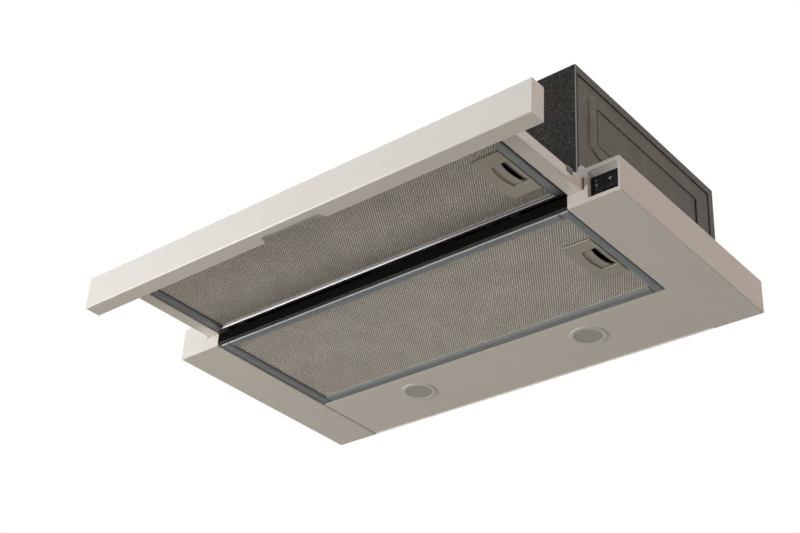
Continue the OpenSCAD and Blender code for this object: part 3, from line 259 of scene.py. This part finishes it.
def satin_metal(name, colour, roughness, along=(1, 1, 1), grain=0.35 * MM, metallic=1.0):
    """Rolled or turned metal with a fine grain along it."""
    made = Finish(name, roughness, metallic)
    lines = made.noise(grain, 3, 0.7, made.stretched(*along))
    made.tone = made.times(made.ramp(lines, (0.3, shade(colour, 0.88)), (0.7, shade(colour, 1.1))),
                           made.ramp(made.noise(20 * MM), (0.3, 0.93), (0.7, 1.05)))
    made.colour(made.tone)
    made.rough(made.span(lines, 0.3, 0.7, roughness - 0.07, roughness + 0.07))
    made.bump(lines, 0.005 * MM, 0.5)
    return made


def folded_frame(name, drawer=False):
    """Filter frame with painted shade along the folds of its short sides.

    The drawer's also has painted shade at its left end and towards its rear, a painted highlight along its rear rim
    that darkens to the right, and near-black painted shadow on its rear flat."""
    made = satin_metal(name, (0.36, 0.39, 0.425), 0.42, (0.5, 1, 1), metallic=0.55)
    x, y, _ = made.axes()
    flat_x, end_x = 0.2255, 0.24
    # Painted shade along the short sides: darker at the rim by the mesh and at the outer fold
    folds = made.ramp(made.span(made.calc("ABSOLUTE", x), flat_x, end_x),
                      (0.0, 1.0), (0.05, 0.4), (0.12, 0.4), (0.24, 1.05), (0.74, 1.05), (0.9, 0.5))
    tone = made.times(made.tone, folds)
    if drawer:
        fade_y, shade_y, rim_y, wall_y = -0.304, -0.2864, -0.2862, -0.28545
        across = made.span(x, -end_x, end_x)
        # Painted shade at the left end
        left = made.ramp(across, (0.0, 0.75), (0.1, 1.0))
        # Painted shade growing towards the rear side
        fade = made.ramp(made.span(y, fade_y, shade_y), (0.0, 1.0), (0.6, 0.65), (1.0, 0.35))
        # Painted highlight along the rear rim, dark at the right
        rim = made.times(made.tone, made.ramp(across, (0.0, 1.5), (0.5, 1.3), (0.8, 0.4)))
        tone = made.blend(made.times(made.times(tone, left), fade), rim, made.calc("GREATER_THAN", y, rim_y))
        # Near-black painted shadow on the rear flat
        tone = made.blend(tone, (0.006, 0.0065, 0.007, 1), made.calc("GREATER_THAN", y, wall_y))
    made.colour(tone)
    return made


def expanded(name, ridge_z, pit, top_z, rear_shade_to):
    """Aluminium mesh: bright strands, with painted shade making the pits between them dark; the last argument is how
    dark painted shade makes its rear side.
    """
    made = Finish(name, 0.45, 0.25)
    _, y, z = made.axes()
    # Painted shade: the pits between the strands go dark with depth
    strands = made.ramp(made.span(z, ridge_z, ridge_z + pit), (0.0, (1.0, 0.97, 0.91)), (0.32, (0.80, 0.77, 0.70)),
                        (0.55, (0.09, 0.084, 0.076)), (1.0, (0.012, 0.011, 0.01)))
    clouds = made.ramp(made.noise(30 * MM, 3, 0.6), (0.3, 0.92), (0.7, 1.06))
    scraps = made.ramp(made.noise(1.9 * MM, 2, 0.6), (0.32, 0.74), (0.68, 1.2))
    upper = made.ramp(made.noise(1.1 * MM, 2, 0.6), (0.42, (0.06, 0.057, 0.052)), (0.56, (0.74, 0.71, 0.65)))
    tone = made.times(made.times(strands, clouds), scraps)
    tone = made.blend(tone, upper, made.calc("GREATER_THAN", z, top_z - 0.1 * MM))
    if rear_shade_to < 1:
        # Painted shade that darkens the mesh towards its rear side
        fade_y, rear_y = -0.335, -0.286
        rear = made.ramp(made.span(y, fade_y, rear_y), (0.0, 1.0), (0.6, 0.5 + rear_shade_to / 2), (1.0, rear_shade_to))
        tone = made.times(tone, rear)
    made.colour(tone)
    made.bump(made.noise(0.5 * MM, 2, 0.6), 0.05 * MM, 0.5)
    return made


def foam():
    """Open foam: black, with pores."""
    made = Finish("black_foam", 1.0, Specular_IOR_Level=0.05)
    pores = made.noise(0.7 * MM, 3, 0.7)
    made.colour(made.ramp(pores, (0.35, 0.003), (0.7, 0.012)))
    made.bump(pores, 0.15 * MM, 0.8)
    return made


def frosted():
    """Ground glass of the lamps."""
    made = Finish("lamp_glass", 0.45, IOR=1.46, Transmission_Weight=0.25)
    grind = made.noise(0.6 * MM, 3, 0.7)
    made.colour(made.ramp(grind, (0.3, (0.60, 0.60, 0.57)), (0.7, (0.68, 0.68, 0.65))))
    made.rough(made.span(grind, 0.3, 0.7, 0.4, 0.55))
    made.bump(grind, 0.02 * MM, 0.6)
    return made


def banded(name, roughness, dark, light, depth, strength, **wave):
    """Metal in fine bands: stacked sheets or wound wire."""
    made = Finish(name, roughness, 0.9)
    bands = made.node("TexWave", Vector=made.place, **wave).outputs["Fac"]
    made.colour(made.ramp(bands, (0.2, dark), (0.8, light)))
    made.bump(bands, depth, strength)
    return made


WHITE = (0.80, 0.78, 0.735)
finishes = {
    "white_paint": coated("white_paint", WHITE),
    "zinc": galvanised("zinc", (0.056, 0.051, 0.043), (0.145, 0.134, 0.115)),
    "black_foam": foam(),
    "white_plastic": moulded("white_plastic", (0.80, 0.785, 0.75), 0.35),
    "grey_plastic": moulded("grey_plastic", (0.46, 0.44, 0.385), 0.42),
    "black_plastic": moulded("black_plastic", (0.006, 0.006, 0.0065), 0.5, Specular_IOR_Level=0.12),
    "fan_plastic": moulded("fan_plastic", (0.045, 0.045, 0.05), 0.45),
    "lamp_plastic": moulded("lamp_plastic", (0.74, 0.73, 0.70), 0.4),
    "lamp_glass": frosted(),
    "filter_frame": folded_frame("filter_frame"),
    "alloy": satin_metal("alloy", (0.45, 0.45, 0.46), 0.5, grain=0.9 * MM),
    "steel": satin_metal("steel", (0.42, 0.42, 0.41), 0.35),
    "core_steel": banded("core_steel", 0.5, (0.07, 0.07, 0.075), (0.2, 0.2, 0.21), 0.1 * MM, 0.5,
                         Scale=250.0, Distortion=0.4, Detail=1.0),
    "copper": banded("copper", 0.32, (0.3, 0.12, 0.05), (0.62, 0.3, 0.15), 0.2 * MM, 0.7,
                     Scale=420.0, Distortion=6.0, Detail=2.0),
    "bronze": satin_metal("bronze", (0.45, 0.3, 0.13), 0.5, grain=0.3 * MM),
    "capacitor_can": moulded("capacitor_can", (0.62, 0.62, 0.6), 0.3),
    "black_rubber": moulded("black_rubber", (0.014, 0.014, 0.014), 0.7, 0.8 * MM, 0.03 * MM),
}
drawer_paint = coated("drawer_paint", WHITE, 0.35, Coat_Weight=0.7, Coat_Roughness=0.2)
zinc_side = pressed_side("zinc_side", (0.052, 0.045, 0.0355), (0.138, 0.121, 0.097))
own = {
    # The wrap's zinc is much darker than the sides': painted shade for the front wall of the box
    "box_wrap": wrapped_sheet("shaded_zinc_wrap", (0.0055, 0.0052, 0.0042), (0.057, 0.054, 0.046)),
    "box_side_left": zinc_side,
    "box_side_right": zinc_side,
    "fascia": drawer_paint,
    "fascia_back": drawer_paint,
    "front_filter_frame": folded_frame("drawer_filter_frame", True),
    "arm_clip": satin_metal("clip_steel", (0.10, 0.11, 0.11), 0.4),
    # Greyer than the white plastic: painted shade inside the switch recess
    "switch_recess": moulded("shaded_recess_plastic", (0.66, 0.65, 0.635), 0.4),
}
for name, thing in nodes.items():
    slot = slot_of[name]
    if slot != "filter_mesh":
        thing.data.materials.clear()
        thing.data.materials.append(own.get(name, finishes[slot]).material)


# ---------------------------------------------------------------- edges of the rigid pieces
def round_edges(piece, width):
    """Rounds the sharp edges of a piece with a modifier, so that they catch the light."""
    bevel = piece.modifiers.new("bevel", "BEVEL")
    bevel.width = width
    bevel.segments = 2
    bevel.limit_method = "ANGLE"
    bevel.angle_limit = math.radians(40)
    return bevel


def soften(name, width):
    """Rounds the edges of a CAD node, whose points are welded first."""
    weld = nodes[name].modifiers.new("weld", "WELD")
    weld.merge_threshold = 0.004 * MM
    round_edges(nodes[name], width).miter_outer = "MITER_ARC"


for width, names in {  # width in mm
    0.15: "fascia",
    0.2: "box_screws",
    0.25: "box_side_left box_side_right speed_switch_body light_switch_body lamp_ring_left lamp_ring_right front_bar",
    0.3: "fascia_back cheek_left cheek_right light_panel front_stretcher drawer_rail motor_shield_inner "
         "motor_shield_outer",
    0.35: "box_wrap switch_recess",
    0.4: "slide_guide_left slide_guide_right speed_rocker light_rocker duct_spigot",
    0.5: "arm_shoes terminal_box cable_bush capacitor",
}.items():
    for name in names.split():
        soften(name, width * MM)


# ---------------------------------------------------------------- shapes in mesh code
def band(made, a, b):
    """Faces between two rings that have the same number of points."""
    for i in range(len(a)):
        k = (i + 1) % len(a)
        made.faces.new((a[i], a[k], b[k], b[i]))


def solid(made, *rings):
    """A closed solid through rings of points."""
    made.faces.new(rings[0][::-1])
    made.faces.new(rings[-1])
    for a, b in zip(rings, rings[1:]):
        band(made, a, b)


def prism(made, outline, bottom, top):
    """A closed prism over an outline that runs anticlockwise seen from above."""
    solid(made, *[[made.verts.new((x, y, z)) for x, y in outline] for z in (bottom, top)])


def rectangle(low, high):
    return [(low[0], low[1]), (high[0], low[1]), (high[0], high[1]), (low[0], high[1])]


def rib(made, section, y0, y1):
    """A closed solid of one section, given as x and z in mm, from y0 to y1."""
    solid(made, *[[made.verts.new((x * MM, y, z * MM)) for x, z in section] for y in (y0, y1)])


def as_piece(name, made, finish, node, body):
    """Turns a bmesh into a piece of the scene, which stands for a CAD node if one is given."""
    bmesh.ops.recalc_face_normals(made, faces=made.faces)
    mesh = bpy.data.meshes.new(name)
    made.to_mesh(mesh)
    made.free()
    piece = bpy.data.objects.new(name, mesh)
    bpy.context.scene.collection.objects.link(piece)
    mesh.materials.append(finish.material)
    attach(piece, body)
    if node:
        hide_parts(node)
    return piece


def cut(piece, prisms):
    """Takes prisms, given as (outline, bottom, top), out of a closed piece."""
    made = bmesh.new()
    for outline, bottom, top in prisms:
        prism(made, outline, bottom, top)
    mesh = bpy.data.meshes.new("cutter")
    made.to_mesh(mesh)
    made.free()
    cutter = bpy.data.objects.new("cutter", mesh)
    bpy.context.scene.collection.objects.link(cutter)
    boolean = piece.modifiers.new("cut", "BOOLEAN")
    boolean.object = cutter
    boolean.operation = "DIFFERENCE"
    boolean.solver = "EXACT"
    bpy.context.view_layer.update()
    done = bpy.data.meshes.new_from_object(piece.evaluated_get(bpy.context.evaluated_depsgraph_get()))
    piece.modifiers.clear()
    old, piece.data = piece.data, done
    material = old.materials[0]
    bpy.data.meshes.remove(old)
    bpy.data.objects.remove(cutter)
    bpy.data.meshes.remove(mesh)
    done.materials.clear()
    done.materials.append(material)


# ---------------------------------------------------------------- mesh packs of the filters
PLATE_LEFT, PLATE_RIGHT = 192.6, 227.9  # edges of a handle plate, in mm


def mesh_pack(name, node, body, edge_y=10.2 * MM, rear_shade_to=1.0):
    """A pack of expanded mesh: strands of diamonds with the pits between them pushed in, and a notch for the catch.

    edge_y is how far its plain edge reaches in from its long sides."""
    low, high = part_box(node)
    plate_low, plate_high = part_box(node.replace("mesh", "plate").replace("filter", "handle"))
    low.z += 1.55 * MM
    pit_depth, half_x, half_y, edge_x = 0.9 * MM, 2.75 / 2 * MM, 4.44 / 2 * MM, 10.2 * MM  # half pitches in x and y
    count_x = int((high.x - low.x - 2 * edge_x) / half_x)
    count_y = int((high.y - low.y - 2 * edge_y) / half_y)
    start_x = (low.x + high.x - count_x * half_x) / 2
    start_y = (low.y + high.y - count_y * half_y) / 2
    xs = [low.x] + [start_x + i * half_x for i in range(count_x + 1)] + [high.x]
    ys = [low.y] + [start_y + j * half_y for j in range(count_y + 1)] + [high.y]
    made = bmesh.new()
    grid = []
    for i, x in enumerate(xs):
        column = []
        for j, y in enumerate(ys):
            pit = (i + j) % 2 == 1 and 1 < i < len(xs) - 2 and 1 < j < len(ys) - 2
            column.append(made.verts.new((x, y, low.z + (pit_depth if pit else 0))))
        grid.append(column)
    for i in range(len(xs) - 1):
        for j in range(len(ys) - 1):
            a, b, c, d = grid[i][j], grid[i][j + 1], grid[i + 1][j + 1], grid[i + 1][j]
            for half in ((a, b, c), (a, c, d)) if (i + j) % 2 == 0 else ((a, b, d), (b, c, d)):
                made.faces.new(half)
    # The notch, which the handle plate covers from below, cut into the faces within reach of it
    cover_x, cover_y, reach_x, reach_y = 0.8 * MM, 7 * MM, 6 * MM, 8 * MM
    x0, x1 = PLATE_LEFT * MM + cover_x, high.x + 0.1 * MM
    y0, y1 = plate_low.y + cover_y, plate_high.y - cover_y
    corners = [(x1, y0), (x0, y0), (x0, y1), (x1, y1)]
    edges = [(Vector((*p, 0)), Vector((*q, 0))) for p, q in zip(corners, corners[1:])]
    for p, q in edges:
        near = []
        for face in made.faces:
            middle = face.calc_center_median()
            if x0 - reach_x < middle.x and y0 - reach_y < middle.y < y1 + reach_y:
                near.append(face)
        geometry = set(near) | {e for f in near for e in f.edges} | {v for f in near for v in f.verts}
        way = (q - p).normalized()
        outward = Vector((way.y, -way.x, 0))
        bmesh.ops.bisect_plane(made, geom=list(geometry), plane_co=p, plane_no=outward, dist=1e-7)

    def in_notch(point):
        return all((q - p).cross(point - p).z < 0 for p, q in edges)

    gone = [f for f in made.faces if in_notch(Vector((*f.calc_center_median().xy, 0)))]
    bmesh.ops.delete(made, geom=gone, context="FACES")
    rim = [e for e in made.edges if len(e.link_faces) == 1]
    raised = bmesh.ops.extrude_edge_only(made, edges=rim)["geom"]
    for v in raised:
        if isinstance(v, bmesh.types.BMVert):
            v.co.z = high.z

    def at_top(edge):
        return all(abs(v.co.z - high.z) < 1e-6 for v in edge.verts)

    top = [e for e in raised if isinstance(e, bmesh.types.BMEdge) and at_top(e)]
    bmesh.ops.contextual_create(made, geom=top)
    as_piece(name, made, expanded(name, low.z, pit_depth, high.z, rear_shade_to), node, body)


mesh_pack("rear_mesh_pack", "rear_filter_mesh", "hood")
mesh_pack("front_mesh_pack", "front_filter_mesh", "drawer", 2.2 * MM, 0.56)


# ---------------------------------------------------------------- folded frames of the filters
def filter_shell(name, node, body, across=1.0):
    """The frame as it is folded from one strip: round outer folds, a flat, and a rim that slopes up to the mesh.

    The long sides are across times as wide as the short ones."""
    low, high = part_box(node)
    plate_low, plate_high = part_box(node.replace("filter", "handle").replace("frame", "plate"))
    half, tall = high.x, (high.z - low.z) / MM
    # In mm: widths of the clearance, the flat and the whole, height of the rim, sheet, and radius of the fold
    clear, flat, full, rise, wall, fold = 0.9, 8.8, 12.4, 1.6, 1.0, 1.1
    centre = clear + fold
    section = [(flat, tall), (centre, tall)]
    section += [(centre - fold * math.sin(t), tall - fold + fold * math.cos(t)) for t in (0.52, 1.05, math.pi / 2)]
    section += [(centre - fold * math.cos(t), fold - fold * math.sin(t)) for t in (0, 0.39, 0.79, 1.18, math.pi / 2)]
    section += [(flat - 0.4, 0), (flat + 0.3, 0.08), (full - 0.2, rise - 0.1), (full, rise + 0.05),
                (full, rise + wall), (flat, wall), (clear + wall, wall), (clear + wall, tall - wall),
                (flat, tall - wall)]
    made = bmesh.new()
    rings = []
    for inward, up in section:
        x, y = half - inward * MM, inward * across * MM
        rings.append([made.verts.new((px, py, low.z + up * MM))
                      for px, py in rectangle((-x, low.y + y), (x, high.y - y))])
    for a, b in zip(rings, rings[1:] + rings[:1]):
        band(made, a, b)
    # Two tabs at the left, and at the right the slots that the bolts of the catch enter
    off_middle, tab_half, slot_half = 24 * MM, 2.5 * MM, 2.8 * MM
    slots = []
    for y in [(low.y + high.y) / 2 + way * off_middle for way in (-1, 1)]:
        prism(made, rectangle((low.x, y - tab_half), (-half + 1.2 * MM, y + tab_half)),
              low.z + 2 * MM, low.z + 5.4 * MM)
        slots.append((rectangle((half - 4 * MM, y - slot_half), (half + MM, y + slot_half)),
                      low.z + 1.7 * MM, low.z + 5.7 * MM))
    under_plate = rectangle((half - (full + 1) * MM, plate_low.y - 0.2 * MM),
                            ((PLATE_RIGHT + 1.3) * MM, plate_high.y + 0.2 * MM))
    shell = as_piece(name, made, own.get(node, finishes["filter_frame"]), node, body)
    cut(shell, [(under_plate, low.z - MM, low.z + (rise + wall + 0.5) * MM)] + slots)


filter_shell("rear_frame_shell", "rear_filter_frame", "hood")
filter_shell("front_frame_shell", "front_filter_frame", "drawer", 0.22)


# ---------------------------------------------------------------- handle plates, their sliding catches and springs
def arc(x, half, steps=20, bow=61.0):
    """Points, in mm, of a bow that bulges to the left as far as x, from its low end in y to its high end."""
    ts = [half * (2 * i / steps - 1) for i in range(steps + 1)]
    return [(x + bow - math.sqrt(bow * bow - t * t), t) for t in ts]


def handle(name, side, body, catch_body):
    """Plate with a bowed finger window and a well behind it, and the catch whose bowed lip a finger pulls."""
    low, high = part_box(side + "_handle_plate")
    base, middle, grey = low.z / MM - 0.2, (low.y + high.y) / 2, finishes["grey_plastic"]

    def slab(points, bottom, top):
        """An outline and its two heights in metres, from mm: y from the plate's middle, z from its base."""
        return [(x * MM, middle + y * MM) for x, y in points], (base + bottom) * MM, (base + top) * MM

    half, window_left, window_right, window_half, well_left = 35.4, 204.2, 225.2, 19.0, 217.4
    made = bmesh.new()
    prism(made, *slab([(PLATE_RIGHT, -half), (PLATE_RIGHT, half), (PLATE_LEFT + 3, half), (PLATE_LEFT, half - 10),
                       (PLATE_LEFT, 15 - half), (PLATE_LEFT + 3, -half)], 0.2, 1.7))
    plate = as_piece(name + "_plate", made, grey, side + "_handle_plate", body)
    window = [(window_right, -window_half), (window_right, window_half)] + arc(window_left, window_half)[::-1]
    cut(plate, [slab(window, -1, 3)])
    well = bmesh.new()
    well.from_mesh(plate.data)
    well_half = (window_half - 0.1) * MM
    rib(well, [(window_right + 0.3, base + 1.5), (window_right + 0.3, base + 2.2), (well_left + 0.6, base + 7.2),
               (well_left, base + 6.6)], middle - well_half, middle + well_half)
    bmesh.ops.recalc_face_normals(well, faces=well.faces)
    well.to_mesh(plate.data)
    well.free()
    round_edges(plate, 0.3 * MM)

    # The catch: its left side, the left of its lip, where its bolts start and end, and their inner and outer side
    left, lip_left, bolt_left, tip, lip_half, bolt_in, bolt_out = 196.9, 214.6, 208.9, 242, 18.5, 21.5, 26.5
    made = bmesh.new()
    prism(made, *slab([(left, -bolt_out), (tip, -bolt_out), (tip, -bolt_in), (bolt_left, -bolt_in),
                       (bolt_left, -lip_half)] + arc(lip_left, lip_half)
                      + [(bolt_left, lip_half), (bolt_left, bolt_in), (tip, bolt_in), (tip, bolt_out),
                         (left, bolt_out)], 1.95, 5.4))
    catch = as_piece(name + "_catch", made, grey, side + "_latch", catch_body)
    # The slot that its spring lies in, and the room above its lip, which leaves the lip thin
    cut(catch, [slab(rectangle((left + 1.2, -1.9), (206.1, 1.9)), 2.06, 6),
                slab(rectangle((211, -18.2), (222, 18.2)), 3.1, 6)])
    round_edges(catch, 0.2 * MM)


handle("rear_handle", "rear", "hood", body_of["rear_latch"])
handle("front_handle", "front", "drawer", body_of["front_latch"])


def spring(node, body):
    """Coil spring of a catch, built at its rest length; the real one shortens as the catch is drawn."""
    travel, wire, turns, steps, sides = 3 * MM, 0.5 * MM, 5, 24, 8
    low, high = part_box(node)
    y, z, r = (low.y + high.y) / 2, (low.z + high.z) / 2, (high.z - low.z - wire) / 2
    rise = (high.x - low.x - wire) / (turns * steps)
    made = bmesh.new()
    rings = []
    for i in range(turns * steps + 1):
        a = math.tau * i / steps
        out = Vector((0, math.cos(a), math.sin(a)))
        across = Vector((rise * steps / math.tau, -r * math.sin(a), r * math.cos(a))).normalized().cross(out)
        centre = Vector((low.x + wire / 2 + rise * i, y, z)) + out * r
        rings.append([made.verts.new(centre + (out * math.cos(b) + across * math.sin(b)) * wire / 2)
                      for b in [math.tau * k / sides for k in range(sides)]])
    solid(made, *rings)
    piece = as_piece(node + "_coil", made, finishes["steel"], node, body)
    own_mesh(piece)


spring("rear_latch_spring", "hood")
spring("front_latch_spring", "drawer")


# ---------------------------------------------------------------- drawer arms
def arm(name, node, way):
    """Painted square tube with rounded edges; way is -1 at the left and 1 at the right."""
    low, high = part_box(node)
    inner, outer, r, wall = 240.3 * MM, 256.9 * MM, 1.3 * MM, 1.0 * MM
    made = bmesh.new()
    rings = []
    for y in (low.y, high.y):
        for radius in (r, r - wall):
            ring = []
            for cx, cz, start in ((outer - r, low.z + r, -90), (outer - r, high.z - r, 0),
                                  (inner + r, high.z - r, 90), (inner + r, low.z + r, 180)):
                for step in range(5):
                    a = math.radians(start + 22.5 * step)
                    ring.append(made.verts.new((way * (cx + radius * math.cos(a)), y, cz + radius * math.sin(a))))
            rings.append(ring)
    front_out, front_in, back_out, back_in = rings
    for a, b in ((front_out, back_out), (back_in, front_in), (front_in, front_out), (back_out, back_in)):
        band(made, a, b)
    as_piece(name, made, drawer_paint, node, "drawer")


arm("arm_tube_left", "drawer_arm_left", -1)
arm("arm_tube_right", "drawer_arm_right", 1)

low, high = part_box("arm_clip")
made = bmesh.new()
rib(made, [(256.95, 24.3), (257.6, 24.3), (257.6, 30.9), (252.2, 30.9), (252.2, 30.4), (256.95, 30.4)], low.y, high.y)
clip = as_piece("arm_clip_sheet", made, own["arm_clip"], "arm_clip", "drawer")
round_edges(clip, 0.15 * MM)


# ---------------------------------------------------------------- marks on the rockers
def marks(name, node, body, strokes, finish):
    """Printed strokes on a rocker's face: each is (x, z, width, height, slant) in mm from the face's middle."""
    low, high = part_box(node)
    face = nodes[node].data
    tree = BVHTree.FromPolygons([v.co for v in face.vertices], [p.vertices for p in face.polygons])
    middle = (low + high) / 2
    over, under = 0.06 * MM, 0.05 * MM
    made = bmesh.new()
    for x, z, width, height, slant in strokes:
        corners = []
        for dx, dz in rectangle((-width / 2, -height / 2), (width / 2, height / 2)):
            px = middle.x + (x + dx + slant * dz) * MM
            pz = middle.z + (z + dz) * MM
            hit = tree.ray_cast(Vector((px, low.y - 10 * MM, pz)), Vector((0, 1, 0)))[0]
            corners.append((px, hit.y if hit else low.y, pz))
        solid(made, *[[made.verts.new((px, py + move, pz)) for px, py, pz in corners] for move in (-over, under)])
    as_piece(name, made, finish, None, body)


# The speed rocker's signs, II over O over I: how far they are spread, and the middle of the O
spread, o_x, o_z = 0.83, -2.2, 2.4
bars = [(-0.8, 5.6, 0.45, 2.2, 0), (0.8, 5.6, 0.45, 2.2, 0), (0, -5.6, 0.45, 2.2, 0)]
ring = [(1.25 * math.cos(t), 1.5 * math.sin(t), 0.62, 0.62, 0) for t in [math.radians(30 * i) for i in range(12)]]
signs = [(spread * x + o_x, spread * z + o_z, width, height, slant) for x, z, width, height, slant in bars + ring]
marks("speed_marks", "speed_rocker", body_of["speed_rocker"], signs,
      moulded("print_grey", (0.42, 0.42, 0.40), 0.5))
marks("light_mark", "light_rocker", body_of["light_rocker"], [(-4.3, 3.6, 0.7, 3.2, -0.8), (-3.1, 5.0, 2.0, 0.7, 0)],
      finishes["white_plastic"])


# ---------------------------------------------------------------- light
def area(name, at, size, level, colour):
    """A square lamp that lights a surface facing it, in the middle of the hood, to about the given level."""
    lamp = bpy.data.lights.new(name, "AREA")
    lamp.shape = "SQUARE"
    lamp.size = size
    at, target = Vector(at), Vector((0, -0.2, 0.1))
    lamp.energy = level * (math.pi * (at - target).length) ** 2
    lamp.color = colour
    thing = bpy.data.objects.new(name, lamp)
    thing.location = at
    thing.rotation_euler = (target - at).to_track_quat("-Z", "Y").to_euler()
    bpy.context.scene.collection.objects.link(thing)


area("key", (-1.3, -2.6, -0.2), 1.6, 0.70, (0.965, 0.965, 1))
area("low", (-2.5, -2.0, -1.3), 1.8, 0.30, (1, 0.90, 0.68))
area("side", (3.2, -0.7, 0.4), 1.6, 0.295, (1, 0.77, 0.65))
area("top", (0.3, 0.2, 3.0), 2.0, 0.24, (1, 0.98, 0.95))
area("back", (-1.6, 3.0, 1.2), 1.8, 0.2, (1, 0.98, 0.95))

# The world: a faint soft light, and white for the rays of the camera, of gloss and of glass
world = bpy.data.worlds.new("studio")
bpy.context.scene.world = world
world.use_nodes = True
tree = world.node_tree
tree.nodes.clear()


def background(colour, strength):
    made = tree.nodes.new("ShaderNodeBackground")
    made.inputs["Color"].default_value = (*colour, 1)
    made.inputs["Strength"].default_value = strength
    return made.outputs[0]


def larger(a, b):
    made = tree.nodes.new("ShaderNodeMath")
    made.operation = "MAXIMUM"
    tree.links.new(a, made.inputs[0])
    tree.links.new(b, made.inputs[1])
    return made.outputs[0]


rays = tree.nodes.new("ShaderNodeLightPath").outputs
choice = tree.nodes.new("ShaderNodeMixShader")
white_seen = larger(larger(rays["Is Camera Ray"], rays["Is Glossy Ray"]), rays["Is Transmission Ray"])
tree.links.new(white_seen, choice.inputs["Fac"])
tree.links.new(background((1, 0.97, 0.93), 0.025), choice.inputs[1])
tree.links.new(background((1, 1, 1), 1.0), choice.inputs[2])
tree.links.new(choice.outputs[0], tree.nodes.new("ShaderNodeOutputWorld").inputs["Surface"])

floor_mesh = bpy.data.meshes.new("floor")
floor_mesh.from_pydata([(x, y, -2.4) for x, y in rectangle((-9, -9), (9, 9))], [], [(0, 1, 2, 3)])
floor = bpy.data.objects.new("floor", floor_mesh)
bpy.context.scene.collection.objects.link(floor)
ground = Finish("floor", 0.8)
ground.colour(ground.ramp(ground.noise(1.5), (0.3, (0.80, 0.80, 0.79)), (0.7, (0.83, 0.83, 0.82))))
floor_mesh.materials.append(ground.material)
